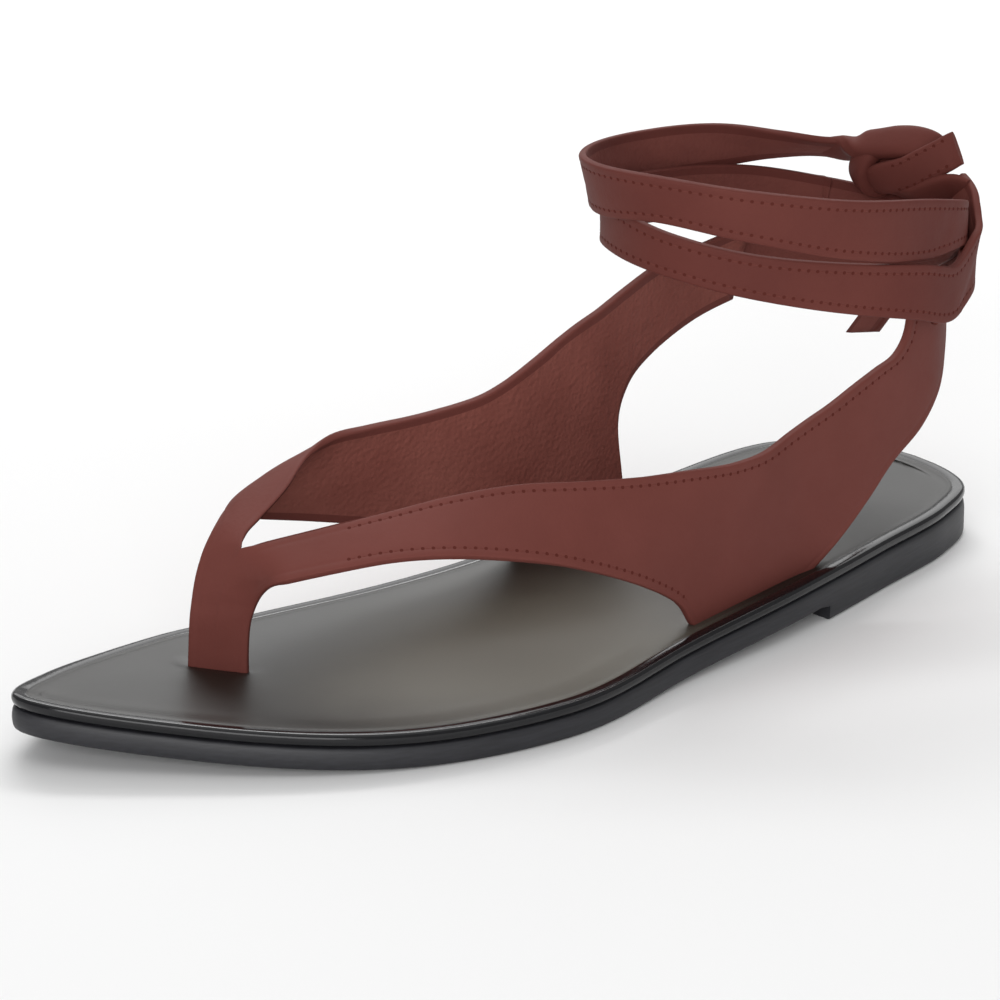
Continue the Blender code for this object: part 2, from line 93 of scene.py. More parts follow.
# %% Curve helpers


def hermite(y0, y1, slope0, slope1, span, share):
    """Cubic between two rows with given slopes."""
    rest = 1.0 - share
    return (y0 * (1.0 + 2.0 * share) * rest ** 2 + slope0 * span * share * rest ** 2
            + y1 * share ** 2 * (3.0 - 2.0 * share) - slope1 * span * share ** 2 * rest)


def curve_through(rows, steps):
    """Smooth curve through the rows of a table, with a number of steps between two rows."""
    rows = np.asarray(rows, float)
    spans = np.maximum(np.linalg.norm(np.diff(rows, axis=0), axis=1), 0.001)[:, None] ** 0.5
    slopes = np.diff(rows, axis=0) / spans
    inner = (slopes[:-1] * spans[1:] + slopes[1:] * spans[:-1]) / (spans[:-1] + spans[1:])
    first = 1.5 * slopes[:1] - 0.5 * inner[:1]
    last = 1.5 * slopes[-1:] - 0.5 * inner[-1:]
    tangents = np.vstack([first, inner, last])
    points = []
    for row in range(len(rows) - 1):
        for step in range(steps):
            points.append(hermite(rows[row], rows[row + 1], tangents[row], tangents[row + 1], spans[row],
                                  step / steps))
    points.append(rows[-1])
    return np.array(points)


def smooth_step(share):
    """Ease from 0 to 1 with level ends."""
    share = np.clip(share, 0.0, 1.0)
    return share * share * (3.0 - 2.0 * share)


def unit(vectors):
    """Vectors of length 1."""
    return vectors / np.maximum(np.linalg.norm(vectors, axis=-1, keepdims=True), 1e-9)


# %% [markdown]
# ## Finishes
# One function turns sRGB hex colours to linear ones, and one adds a node with its settings and links.
# Each material is built from what the real one is.

# %% Colour and node helpers


def linear(hex_colour):
    """sRGB hex to linear RGBA."""
    parts = [int(hex_colour[place_of:place_of + 2], 16) / 255.0 for place_of in (1, 3, 5)]
    parts = [part / 12.92 if part <= 0.04045 else ((part + 0.055) / 1.055) ** 2.4 for part in parts]
    return (*parts, 1.0)


def per_metre(size_mm):
    """Texture scale that makes one feature this many millimetres wide."""
    return 1000.0 / size_mm


def set_inputs(tree, made, inputs):
    """Give each named input of a node its value, or link it from a socket."""
    for name, value in inputs.items():
        if isinstance(value, bpy.types.NodeSocket):
            tree.links.new(value, made.inputs[name])
        else:
            made.inputs[name].default_value = value


def add_node(tree, kind, inputs=None, **settings):
    """A node with its settings and links."""
    made = tree.nodes.new(kind)
    for name, value in settings.items():
        setattr(made, name, value)
    set_inputs(tree, made, inputs or {})
    return made


def set_stops(ramp, *stops):
    """Position and sRGB hex colour of each stop of a colour ramp."""
    for stop, (position, colour) in zip(ramp.elements, stops):
        stop.position = position
        stop.color = linear(colour)


def new_finish(name):
    """Empty material with its Principled shader and object coordinates."""
    made = bpy.data.materials.new(name)
    made.use_nodes = True
    tree = made.node_tree
    shader = tree.nodes["Principled BSDF"]
    coords = add_node(tree, "ShaderNodeTexCoord").outputs["Object"]
    return made, tree, shader, coords


# %% [markdown]
# ** Dyed leathers.** The upper is soft chrome-tanned cowhide, dyed through and lightly finished: a fine
# pebble grain, almost matt, with a little shift of colour from place to place. The ties are a softer and
# slightly darker hide. The upper is lined with pigskin, which has a coarser grain and no finish, and the
# ties show the flesh side of their own hide. The upper's lining is painted lighter than the ties' flesh
# side, as painted light for the inside of the wings, which lies in shade. An image could give the grain;
# cells and noise were chosen, because they have no seams. The real pebbles are about half a millimetre,
# too fine to show, so they are drawn at 0.9 mm.

# %% Leather finishes
CLOUD_MM = 26.0
WRINKLE_MM = 2.6
PEBBLE_LIFT = 0.35


def leather(name, colour, shade, pebble_mm, relief_mm, roughness):
    """Dyed leather: cloudy colour, pebble grain and fine wrinkles."""
    made, tree, shader, coords = new_finish(name)
    clouds = add_node(tree, "ShaderNodeTexNoise",
                      {"Vector": coords, "Scale": per_metre(CLOUD_MM), "Detail": 3.0, "Roughness": 0.55})
    pebbles = add_node(tree, "ShaderNodeTexVoronoi",
                       {"Vector": coords, "Scale": per_metre(pebble_mm), "Randomness": 0.9},
                       feature="SMOOTH_F1")
    wrinkles = add_node(tree, "ShaderNodeTexNoise",
                        {"Vector": coords, "Scale": per_metre(WRINKLE_MM), "Detail": 4.0, "Roughness": 0.6,
                         "Distortion": 0.4})
    height = add_node(tree, "ShaderNodeMath",
                      {0: pebbles.outputs["Distance"], 1: wrinkles.outputs[0], 2: PEBBLE_LIFT},
                      operation="MULTIPLY_ADD")
    tone = add_node(tree, "ShaderNodeValToRGB", {"Fac": clouds.outputs[0]})
    set_stops(tone.color_ramp, (0.3, shade), (0.7, colour))
    rough = add_node(tree, "ShaderNodeMapRange",
                     {"Value": wrinkles.outputs[0], "To Min": roughness - 0.06, "To Max": roughness + 0.08})
    bump = add_node(tree, "ShaderNodeBump",
                    {"Height": height.outputs[0], "Strength": 0.6, "Distance": relief_mm / 1000.0})
    set_inputs(tree, shader, {"Base Color": tone.outputs["Color"], "Roughness": rough.outputs["Result"],
                              "Normal": bump.outputs["Normal"], "IOR": 1.5, "Specular IOR Level": 0.10})
    return made


hide = leather("nappa_cowhide_brown", "#703E38", "#693933", 0.9, 0.10, 0.60)
tie_hide = leather("soft_tie_cowhide_brown", "#673731", "#60322D", 0.9, 0.10, 0.62)
# Painted light: the upper's lining is its own brown made lighter than the ties' flesh side, for its shaded
# place inside the wings
lining = leather("pigskin_lining_brown_painted_lighter", "#8E554C", "#7D473F", 1.1, 0.80, 0.70)
tie_lining = leather("cowhide_flesh_side_brown", "#7A463F", "#6E3E38", 1.1, 0.40, 0.70)
print("leathers:", [finish.name for finish in (hide, tie_hide, lining, tie_lining)])

# %% [markdown]
# ** Sewing thread and needle holes.** Bonded polyester thread in the leather's own colour; what shows from
# a step away is the dark hole at each end of a stitch. Each hole is a shallow dish on the leather, dark with
# painted shade for the shadow inside a real hole. Both could be painted on the leather. Plain dull
# finishes for small shapes were chosen, because the shapes catch the light as real sewing does.

# %% Thread finishes
thread, tree, shader, _ = new_finish("bonded_thread_brown")
set_inputs(tree, shader, {"Base Color": linear("#6A3933"), "Roughness": 0.8, "Specular IOR Level": 0.1})
# Painted shade: the needle hole's dark brown stands for the shadow inside a real hole
needle_hole, tree, shader, _ = new_finish("needle_hole_shadow")
set_inputs(tree, shader, {"Base Color": linear("#572A24"), "Roughness": 0.9, "Specular IOR Level": 0.05})
print("sewing:", thread.name, needle_hole.name)

# %% [markdown]
# ** Footbed.** Black vegetable-tanned leather, burnished to a satin surface: dark, but it mirrors a broad
# soft light. Its colour is painted paler in the middle, a little towards the outer side, and darker towards
# the inner side and both ends: painted sheen for light that it mirrors there. The sheen could be an image;
# a soft oval over the footbed was chosen, because it needs only a middle and a reach, in metres.

# %% Footbed finish
# Painted sheen: middle and reach of the paler oval in metres, and the share of random clouds
SHEEN_CENTRE = np.array([0.015, -0.020, 0.0])
SHEEN_REACH = np.array([0.052, 0.070, 1.0])
CLOUD_UNEVEN = 0.22

footbed, tree, shader, coords = new_finish("burnished_footbed_leather_painted_sheen")
clouds = add_node(tree, "ShaderNodeTexNoise",
                  {"Vector": coords, "Scale": per_metre(18.0), "Detail": 4.0, "Roughness": 0.55})
pores = add_node(tree, "ShaderNodeTexNoise",
                 {"Vector": coords, "Scale": per_metre(0.8), "Detail": 3.0, "Roughness": 0.6})
# Painted sheen: paler colour in an oval over the middle of the footbed, fading towards its edges
oval = add_node(tree, "ShaderNodeMapping",
                {"Vector": coords, "Location": tuple(-SHEEN_CENTRE / SHEEN_REACH),
                 "Scale": tuple(1.0 / SHEEN_REACH)})
painted_sheen_oval = add_node(tree, "ShaderNodeTexGradient", {"Vector": oval.outputs[0]}, gradient_type="SPHERICAL")
clouds_and_painted_sheen = add_node(tree, "ShaderNodeMath",
                {0: clouds.outputs[0], 1: CLOUD_UNEVEN, 2: painted_sheen_oval.outputs["Fac"]}, operation="MULTIPLY_ADD")
tone = add_node(tree, "ShaderNodeValToRGB", {"Fac": clouds_and_painted_sheen.outputs[0]})
tone.color_ramp.interpolation = "EASE"
set_stops(tone.color_ramp, (0.10, "#1A1813"), (0.86, "#605D53"))
rough = add_node(tree, "ShaderNodeMapRange", {"Value": clouds.outputs[0], "To Min": 0.40, "To Max": 0.48})
bump = add_node(tree, "ShaderNodeBump", {"Height": pores.outputs[0], "Strength": 0.35, "Distance": 0.00004})
set_inputs(tree, shader, {"Base Color": tone.outputs["Color"], "Roughness": rough.outputs["Result"],
                          "Normal": bump.outputs["Normal"]})
print("footbed:", footbed.name)

# %% [markdown]
# **Footbed rim and sole edge.** The footbed's rolled rim is waxed until it shines, so it draws a bright
# line round the shoe. The sole's edge is leather board inked black and waxed by hand, duller, with faint
# scratches along it. One finish could serve both; two were chosen, because the line between gloss and
# dull parts them.

# %% Rim and sole finishes
rim, tree, shader, coords = new_finish("waxed_footbed_rim")
rub = add_node(tree, "ShaderNodeTexNoise",
               {"Vector": coords, "Scale": per_metre(1.6), "Detail": 4.0, "Roughness": 0.6})
tone = add_node(tree, "ShaderNodeValToRGB", {"Fac": rub.outputs[0]})
set_stops(tone.color_ramp, (0.0, "#08080A"), (1.0, "#17171A"))
rough = add_node(tree, "ShaderNodeMapRange", {"Value": rub.outputs[0], "To Min": 0.08, "To Max": 0.20})
bump = add_node(tree, "ShaderNodeBump", {"Height": rub.outputs[0], "Strength": 0.3, "Distance": 0.00008})
set_inputs(tree, shader, {"Base Color": tone.outputs["Color"], "Roughness": rough.outputs["Result"],
                          "Normal": bump.outputs["Normal"], "Specular IOR Level": 0.4})

sole_edge, tree, shader, coords = new_finish("inked_sole_board")
stretch = add_node(tree, "ShaderNodeMapping", {"Vector": coords, "Scale": (1.0, 0.25, 4.0)})
scratches = add_node(tree, "ShaderNodeTexNoise",
                     {"Vector": stretch.outputs[0], "Scale": per_metre(2.4), "Detail": 4.0,
                      "Roughness": 0.6})
tone = add_node(tree, "ShaderNodeValToRGB", {"Fac": scratches.outputs[0]})
set_stops(tone.color_ramp, (0.35, "#1D1D21"), (0.75, "#29292E"))
bump = add_node(tree, "ShaderNodeBump",
                {"Height": scratches.outputs[0], "Strength": 0.4, "Distance": 0.00012})
set_inputs(tree, shader, {"Base Color": tone.outputs["Color"], "Normal": bump.outputs["Normal"],
                          "Roughness": 0.5})
print("rim and sole:", rim.name, sole_edge.name)

# %% [markdown]
# ## Leather strips
# Every strap here is one leather strip: a face, a lining, and an edge that is turned over and sewn down,
# so a band of the hide shows on the lining side too. A flat plane with a thickness modifier could be bent
# into place. A fine grid of points was chosen, because its columns can be spaced by real distance from
# the two edges: the rolled edge and the stitch line stay the same width however wide the strip is.

# %% Strip grid
EDGE_COLUMNS = np.array([0.0, 0.07, 0.2, 0.4, 0.7, 1.1, 1.45, 1.75, 2.05, 2.35, 2.7, 3.2])
STITCH_COLUMN = 8
MIDDLE_COLUMNS = 12
# A strip narrower than this many edge bands has them squeezed
NARROW_STRIP = 2.3
NORMAL_PASSES = 8


def even_columns(grid):
    """The grid resampled across: fixed distances near both edges, even steps between. Also the distances."""
    steps = np.linalg.norm(np.diff(grid, axis=1), axis=2)
    run = np.hstack([np.zeros((len(grid), 1)), np.cumsum(steps, axis=1)])
    width = run[:, -1:]
    near = EDGE_COLUMNS[None] * np.minimum(1.0, width / (NARROW_STRIP * EDGE_COLUMNS[-1]))
    shares = np.linspace(0.0, 1.0, MIDDLE_COLUMNS + 2)[None, 1:-1]
    middle = near[:, -1:] + (width - 2.0 * near[:, -1:]) * shares
    wanted = np.hstack([near, middle, width - near[:, ::-1]])
    points = [[np.interp(wanted[row], run[row], grid[row, :, axis]) for axis in range(3)]
              for row in range(len(grid))]
    return np.moveaxis(np.array(points), 1, 2), wanted, width - wanted


def grid_normals(points, facing):
    """Normals of a grid, evened out along its length so that an edge doesn't jump at a table row."""
    normals = unit(np.cross(np.gradient(points, axis=0), np.gradient(points, axis=1))) * facing
    for _ in range(NORMAL_PASSES):
        normals[1:-1] += 0.5 * normals[:-2] + 0.5 * normals[2:]
        normals = unit(normals)
    return normals


# %% Strip edges and creases
EDGE_ROUND = 0.5
# Turned edge and stitch line: distance from the edge, height and half width
TURNED_EDGE = (1.1, 0.03, 0.5)
STITCH_TROUGH = (EDGE_COLUMNS[STITCH_COLUMN], -0.07, 0.4)
# How fast a crease grows from its ends, and its share of the depth there
CREASE_GROWS = 6.0
CREASE_END = 0.25


def edge_drop(distance):
    """How far a rounded edge falls back, at a distance from the edge."""
    inside = np.clip(EDGE_ROUND - distance, 0.0, EDGE_ROUND)
    return EDGE_ROUND - np.sqrt(np.maximum(EDGE_ROUND ** 2 - inside ** 2, 0.0))


def creased(points, normals, creases):
    """Points pushed in along soft troughs. A crease is its two ends, its depth and its half width."""
    moved = points.copy()
    for first, second, depth, half_width in creases:
        first, second = place(first), place(second)
        along = second - first
        share = np.clip((points - first) @ along / (along @ along), 0.0, 1.0)
        away = np.linalg.norm(points - first - share[..., None] * along, axis=-1)
        faded = np.minimum(1.0, CREASE_GROWS * np.minimum(share, 1.0 - share) + CREASE_END)
        moved -= normals * (depth * faded * np.exp(-(away / half_width) ** 2))[..., None]
    return moved


def strip_faces(points, normals, from_low, from_top, outer, inner, rolled_top):
    """Face points and lining points of a strip, with rounded edges and a sewn trough beside them."""
    drop = edge_drop(from_low) + edge_drop(from_top) * rolled_top[:, None]
    sewn = np.zeros_like(from_low)
    for distance, weight in ((from_low, 1.0), (from_top, rolled_top[:, None])):
        for line, height, half_width in (TURNED_EDGE, STITCH_TROUGH):
            sewn += weight * height * np.exp(-((distance - line) / half_width) ** 2)
    face = points + normals * (outer - drop + sewn)[..., None]
    back = points + normals * (inner + drop)[..., None]
    return face, back


# %% Strip mesh and pieces
WELD = 0.000004


def strip_mesh(face, back, open_rows=0, start=0):
    """Quads of a strip: face, lining, both edges and both ends. open_rows have no top edge."""
    rows, columns = face.shape[:2]
    number = np.arange(rows * columns).reshape(rows, columns) + start
    below = number + rows * columns
    row, column = np.mgrid[:rows - 1, :columns - 1]
    turned = (column < STITCH_COLUMN) | ((column >= columns - 1 - STITCH_COLUMN) & (row >= open_rows))
    faces = []
    for layer in (number, below):
        quads = np.stack([layer[:-1, :-1], layer[:-1, 1:], layer[1:, 1:], layer[1:, :-1]], -1)
        faces += quads.reshape(-1, 4).tolist()
    lined = [False] * turned.size + (~turned.ravel()).tolist()
    for over, under in ((number[:, 0], below[:, 0]), (number[open_rows:, -1], below[open_rows:, -1]),
                        (number[0], below[0]), (number[-1], below[-1])):
        faces += np.stack([over[:-1], over[1:], under[1:], under[:-1]], -1).tolist()
    lined += [False] * (len(faces) - len(lined))
    return np.vstack([face.reshape(-1, 3), back.reshape(-1, 3)]), faces, lined


def add_piece(name, points, faces, finishes, finish_of, nodes=()):
    """Smooth mesh piece from points in millimetres, riding on the shoe and standing for its solids."""
    mesh = bpy.data.meshes.new(name)
    mesh.from_pydata((np.asarray(points) / 1000.0).tolist(), [], [list(face) for face in faces])
    for finish in finishes:
        mesh.materials.append(finish)
    mesh.polygons.foreach_set("material_index", np.asarray(finish_of, np.int32))
    builder = bmesh.new()
    builder.from_mesh(mesh)
    bmesh.ops.remove_doubles(builder, verts=builder.verts, dist=WELD)
    bmesh.ops.recalc_face_normals(builder, faces=builder.faces)
    builder.to_mesh(mesh)
    builder.free()
    mesh.shade_smooth()
    piece = bpy.data.objects.new(name, mesh)
    scene.collection.objects.link(piece)
    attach(piece, "root")
    if nodes:
        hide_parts(*nodes)
    mesh.calc_loop_triangles()
    print(name, len(mesh.loop_triangles), "triangles")
    return piece


# %% [markdown]
# ## Tie end and knot
# The last stretch of the tie goes through the knot behind the ankle and hangs down behind it. It is limp
# leather, cut off square, so it is built as a flat strip that starts where the tie enters the knot. It
# could be dropped in a cloth simulation; a path of a few points was chosen, because it keeps the
# photograph's fall.

# %% Ankle column and strap frame
ANKLE_ALONG = 52.0
ANKLE_HALF_WIDTH = 34.0
ANKLE_HALF_DEPTH = 46.0
TIE = 1.8
STRIP_SAMPLES = 40


def ankle_point(turn, reach, up):
    """Point beside the ankle's oval column, on the last."""
    angle = np.radians(turn)
    normal = unit(np.stack([np.sin(angle) / ANKLE_HALF_WIDTH, np.cos(angle) / ANKLE_HALF_DEPTH], -1))
    across = ANKLE_HALF_WIDTH * np.sin(angle) + normal[..., 0] * reach
    along = ANKLE_ALONG + ANKLE_HALF_DEPTH * np.cos(angle) + normal[..., 1] * reach
    return np.stack([across, along, up], -1)


def ribbon_grid(path, sides, widths):
    """Middle sheet of a ribbon along a path, from its width directions and widths."""
    shares = np.linspace(-0.5, 0.5, STRIP_SAMPLES)
    return path[:, None] + sides[:, None] * (np.asarray(widths)[:, None] * shares)[..., None]


def ribbon(grid, outwards, creases=()):
    """Points and quads of one ribbon whose face looks outwards, and that face with its normals."""
    points, from_low, from_top = even_columns(grid)
    normals = grid_normals(points, 1.0)
    normals *= np.sign(np.sum(normals * outwards))
    points = creased(points, normals, creases)
    rolled = np.ones(len(points))
    face, back = strip_faces(points, normals, from_low, from_top, TIE / 2.0, -TIE / 2.0, rolled)
    return (*strip_mesh(face, back), face, normals)


# %% Tie end through the knot
# Across, along, up and width
TIE_END = (
    (-17.0, 8.7, 86.5, 3.4), (-11.0, 5.8, 86.4, 3.6), (-4.0, 3.2, 85.8, 5.0), (1.5, 1.6, 83.6, 6.5),
    (1.6, 0.8, 79.8, 9.0), (0.6, 0.6, 76.5, 11.5), (-2.5, 0.5, 66.0, 11.5), (-9.0, 1.2, 53.0, 11.5),
    (-17.5, 3.0, 39.5, 11.5),
)
END_STEPS = 8
# Height from which the strip turns on edge into the knot and its tip twists, and over how far
MOUTH_FROM, MOUTH_OVER = 79.0, 5.0
TIP_FROM, TIP_OVER = 60.0, 15.0
TIP_TWIST = (-0.05, -0.12, 0.29)
BACKWARDS = np.array([0.0, 1.0, 0.0])
end_rows = curve_through(TIE_END, END_STEPS)
end_path = place(end_rows[:, :3])
in_knot = smooth_step((end_rows[:, 2] - MOUTH_FROM) / MOUTH_OVER)[:, None]
at_tip = smooth_step((TIP_FROM - end_rows[:, 2]) / TIP_OVER)[:, None]
end_side = np.array([1.0, 0.0, 0.0]) + at_tip * TIP_TWIST
end_side = unit(end_side * (1.0 - in_knot) + np.array([0.0, 0.0, -1.0]) * in_knot)
end_sheet = ribbon_grid(end_path, end_side, end_rows[:, 3])
end_points, end_faces, end_lined = ribbon(end_sheet, BACKWARDS)[:3]
tie_end = add_piece("tie_end_strip", end_points, end_faces, (tie_hide, tie_lining), end_lined,
                    ("tie_end",))

# %% [markdown]
# The knot is a half knot. A strap that is pulled into a knot folds along its length and puffs up, so each
# of them is a flattened tube: the inner tie's end goes over the top, one strap is wound up the inner
# side, the outer tie's end comes in from below, and one is wound round them all and leaves as a short
# flat tab. They lie on a soft core, the place where they squeeze together. Flat strips could be folded
# into the same knot; tubes were chosen, because they stay whole in the tight turns.

# %% Knot tables
KNOT_CENTRE = np.array([-0.8, 4.2, 86.2])
KNOT_AXES = np.array([(0.942, -0.279, 0.186), (-0.257, -0.243, 0.935), (0.216, 0.929, 0.301)])
CORE_HALF = np.array([11.0, 4.6, 4.0])
KNOT_BULGE = np.array([13.0, 8.0, 5.5])
# Along the knot, up, towards the ankle, width and thickness of each strap, in the order in which it runs
KNOT_STRAPS = {
    "inner_end": (
        (-22.6, 3.9, 3.6, 6.4, 1.4), (-20.4, 3.7, 2.3, 7.2, 2.4), (-17.8, 3.5, 1.5, 7.4, 3.8),
        (-14.8, 3.6, 1.8, 7.4, 5.0), (-11.6, 3.8, 2.5, 7.4, 5.0),
        (-7.5, 4.1, 3.4, 7.6, 4.2), (-2.6, 4.2, 3.7, 8.2, 4.6), (2.0, 3.8, 3.4, 8.2, 4.6),
        (5.1, 2.9, 2.4, 7.8, 4.2), (7.1, 1.5, 0.6, 7.0, 3.6),
    ),
    "wound": (
        (-10.0, -5.4, -2.8, 6.0, 3.4), (-13.0, -5.2, 0.4, 6.4, 3.8), (-13.4, -2.6, 2.6, 6.8, 4.0),
        (-12.4, -0.1, 3.3, 7.0, 4.0), (-10.6, 2.0, 3.2, 6.6, 3.8), (-8.0, 3.2, 2.0, 6.0, 3.4),
    ),
    "tab": (
        (-13.0, -4.4, -3.0, 6.5, 3.4), (-10.4, -4.2, 1.2, 7.0, 3.6), (-5.9, -4.0, 4.0, 7.8, 3.6),
        (0.5, -3.3, 5.4, 8.2, 3.4), (5.3, -1.5, 5.9, 8.2, 3.0), (10.1, 0.6, 5.6, 8.2, 2.4),
        (12.4, 1.8, 5.3, 8.2, 2.1), (13.6, 2.3, 5.2, 8.2, 2.0),
    ),
    "outer_end": (
        (15.2, -8.4, 1.9, 10.6, 1.8), (11.7, -7.2, 2.0, 11.2, 2.6), (7.0, -7.6, 2.2, 10.4, 3.2),
        (2.0, -8.0, 1.8, 9.0, 3.6), (-3.0, -6.8, 0.4, 8.0, 3.4),
    ),
}
# Way that the inner tie's face looks where it enters the knot, and where the strap has turned out of it
TIE_ENTRY = np.array([-0.18, 0.82, -0.54])
ENTRY_FROM, ENTRY_TO = -10.0, -19.0
TUBE_SIDES = 32
TUBE_SQUARENESS = 0.62
STRAP_STEPS = 8
CORE_RINGS = 15
CORE_POLE = 0.499 * math.pi
# Sides and rings of the tab that are sewn
SEWN_SIDES = (5, 11)
SEWN_RINGS = slice(20, 56)
CUT_EDGE = math.radians(60.0)
print("knot straps:", list(KNOT_STRAPS))

# %% Knot helpers


def side_faces(levels, count, start=0):
    """Quads between closed loops of points that are stacked one on the other."""
    number = np.arange(levels * count).reshape(levels, count) + start
    ahead = np.roll(number, -1, axis=1)
    return np.stack([number[:-1], ahead[:-1], ahead[1:], number[1:]], -1).reshape(-1, 4).tolist()


def tube_rings(table):
    """Rings of a flattened tube along a strap, each turned to lie on the knot, and its outward ways."""
    rows = curve_through(table, STRAP_STEPS)
    path = rows[:, :3]
    entering = smooth_step((ENTRY_FROM - path[:, :1]) / (ENTRY_FROM - ENTRY_TO)) * (path[0, 0] < ENTRY_TO)
    outward = unit(path / KNOT_BULGE ** 2) * (1.0 - entering) + TIE_ENTRY * entering
    ahead = unit(np.gradient(path, axis=0))
    outward = unit(outward - ahead * np.sum(outward * ahead, axis=1, keepdims=True))
    side = np.cross(ahead, outward)
    turns = np.linspace(0.0, 2.0 * math.pi, TUBE_SIDES, endpoint=False)
    wide = np.sign(np.cos(turns)) * np.abs(np.cos(turns)) ** TUBE_SQUARENESS
    thick = np.sign(np.sin(turns)) * np.abs(np.sin(turns)) ** TUBE_SQUARENESS
    rings = (path[:, None] + side[:, None] * (0.5 * rows[:, 3:4] * wide)[..., None]
             + outward[:, None] * (0.5 * rows[:, 4:5] * thick)[..., None])
    return place(KNOT_CENTRE + rings @ KNOT_AXES), (outward @ KNOT_AXES) * (1.0, -1.0, 1.0)


# %% Knot and cord
core_turns = np.linspace(0.0, 2.0 * math.pi, TUBE_SIDES, endpoint=False)
core_lifts = np.linspace(-CORE_POLE, CORE_POLE, CORE_RINGS)
core = [[(math.sin(lift), math.cos(lift) * math.cos(turn), math.cos(lift) * math.sin(turn))
         for turn in core_turns] for lift in core_lifts]
knot_rings = [place(KNOT_CENTRE + (np.array(core) * CORE_HALF) @ KNOT_AXES)]
knot_sewing = []
for strap, table in KNOT_STRAPS.items():
    rings, outward = tube_rings(table)
    knot_rings.append(rings)
    if strap == "tab":
        knot_sewing = [(rings[SEWN_RINGS, side], outward[SEWN_RINGS]) for side in SEWN_SIDES]
knot_faces = []
start = 0
for rings in knot_rings:
    knot_faces += side_faces(len(rings), TUBE_SIDES, start)
    for end in (start, start + (len(rings) - 1) * TUBE_SIDES):
        knot_faces.append(list(range(end, end + TUBE_SIDES)))
    start += len(rings) * TUBE_SIDES
knot = add_piece("knot_straps", np.vstack([rings.reshape(-1, 3) for rings in knot_rings]), knot_faces,
                 (tie_hide,), np.zeros(len(knot_faces)), ("knot",))
knot.data.set_sharp_from_angle(angle=CUT_EDGE)

# %% [markdown]
# ## The last and the upper
# The upper is one skin over the last: a toe post that splits into an outer and an inner wing. The last is
# a row of sections along the foot, and each wing is a row of ribs on it, from a low edge to a top edge.
# The two halves of the post share their middle line, so they are welded there. The skin could be cut flat
# and draped over the last; ribs were chosen, because every edge can then be matched to the photograph.

# %% Last
LENGTH = 255.0
BALL_WIDTH = 91.0
ANKLE_HEIGHT = 150.0
OUTSOLE = 5.2
INSOLE = 3.0
HEEL_LIFT = 3.6
TOE_SPRING = 6.8
WALL = 2.0
GAP = 0.3
HEEL_BREAST = 0.278
TREAD_BACK = 0.588
TREAD_FRONT = 0.714
# Along (of LENGTH), outer edge, inner edge and ridge (of BALL_WIDTH), ridge height (of ANKLE_HEIGHT)
LAST = (
    (0.039, 0.198, -0.220, 0.000, 1.000), (0.118, 0.324, -0.308, 0.000, 1.000),
    (0.216, 0.352, -0.319, 0.000, 0.987), (0.294, 0.350, -0.290, -0.011, 0.920),
    (0.361, 0.364, -0.272, -0.044, 0.773), (0.424, 0.374, -0.276, -0.088, 0.587),
    (0.490, 0.385, -0.314, -0.143, 0.440), (0.569, 0.407, -0.374, -0.220, 0.345),
    (0.647, 0.407, -0.423, -0.275, 0.280), (0.714, 0.352, -0.451, -0.297, 0.240),
    (0.769, 0.242, -0.451, -0.297, 0.200), (0.808, 0.132, -0.418, -0.275, 0.163),
)
OUTER_ROUNDNESS = 2.1
INNER_ROUNDNESS = 2.7


def ground(along):
    """Height of the outsole's underside over the floor: heel lift, flat tread and toe spring."""
    share = np.asarray(along, float) / LENGTH
    arch = smooth_step((TREAD_BACK - share) / (TREAD_BACK - HEEL_BREAST))
    toe = np.clip((share - TREAD_FRONT) / (1.0 - TREAD_FRONT), 0.0, 1.0)
    return HEEL_LIFT * arch + TOE_SPRING * toe ** 2


def section_at(along):
    """Outer edge, inner edge, ridge and height of the last in millimetres, with no overshoot."""
    rows = np.array(LAST)
    keys = rows[:, 0] * LENGTH
    values = rows[:, 1:] * (BALL_WIDTH, BALL_WIDTH, BALL_WIDTH, ANKLE_HEIGHT)
    spans = np.diff(keys)[:, None]
    steps = np.diff(values, axis=0) / spans
    turning = steps[:-1] * steps[1:] <= 0.0
    safe_sum = np.where(turning, 1.0, steps[:-1] + steps[1:])
    inner = np.where(turning, 0.0, 2.0 * steps[:-1] * steps[1:] / safe_sum)
    slopes = np.vstack([steps[:1], inner, steps[-1:]])
    along = np.clip(along, keys[0], keys[-1])
    row = np.clip(np.searchsorted(keys, along, side="right") - 1, 0, len(keys) - 2)
    share = ((along - keys[row]) / spans[row, 0])[..., None]
    shape = hermite(values[row], values[row + 1], slopes[row], slopes[row + 1], spans[row], share)
    return np.moveaxis(shape, -1, 0)


def last_point(along, angle):
    """Points of the last's surface; past the footbed's edges they go down to the outsole."""
    outer, inner, ridge, height = section_at(along)
    turn = np.radians(np.clip(angle, 0.0, 180.0))
    side = np.cos(turn)
    power = 2.0 / np.where(side > 0.0, OUTER_ROUNDNESS, INNER_ROUNDNESS)
    half = np.where(side > 0.0, outer - ridge, ridge - inner)
    sunk = INSOLE * np.clip(np.maximum(-angle, angle - 180.0), 0.0, 1.0)
    up = ground(along) + OUTSOLE + GAP + INSOLE + height * np.abs(np.sin(turn)) ** power - sunk
    return np.stack([ridge + np.sign(side) * half * np.abs(side) ** power, along, up], -1)


# %% Post and wing tables
# Toe post: middle, outer side and inner side
POST = (
    ((-21.8, 203.0, 6.3), (-16.0, 199.3, 6.3), (-27.4, 206.8, 6.3)),
    ((-21.7, 203.2, 12.0), (-16.0, 199.2, 12.0), (-27.3, 206.6, 12.0)),
    ((-21.0, 203.4, 20.0), (-15.2, 199.1, 19.0), (-27.3, 206.0, 20.0)),
    ((-19.8, 202.2, 28.0), (-13.0, 199.1, 25.0), (-27.6, 204.3, 27.5)),
    ((-17.3, 199.7, 36.6), (-8.5, 200.2, 29.8), (-28.2, 201.4, 33.5)),
)
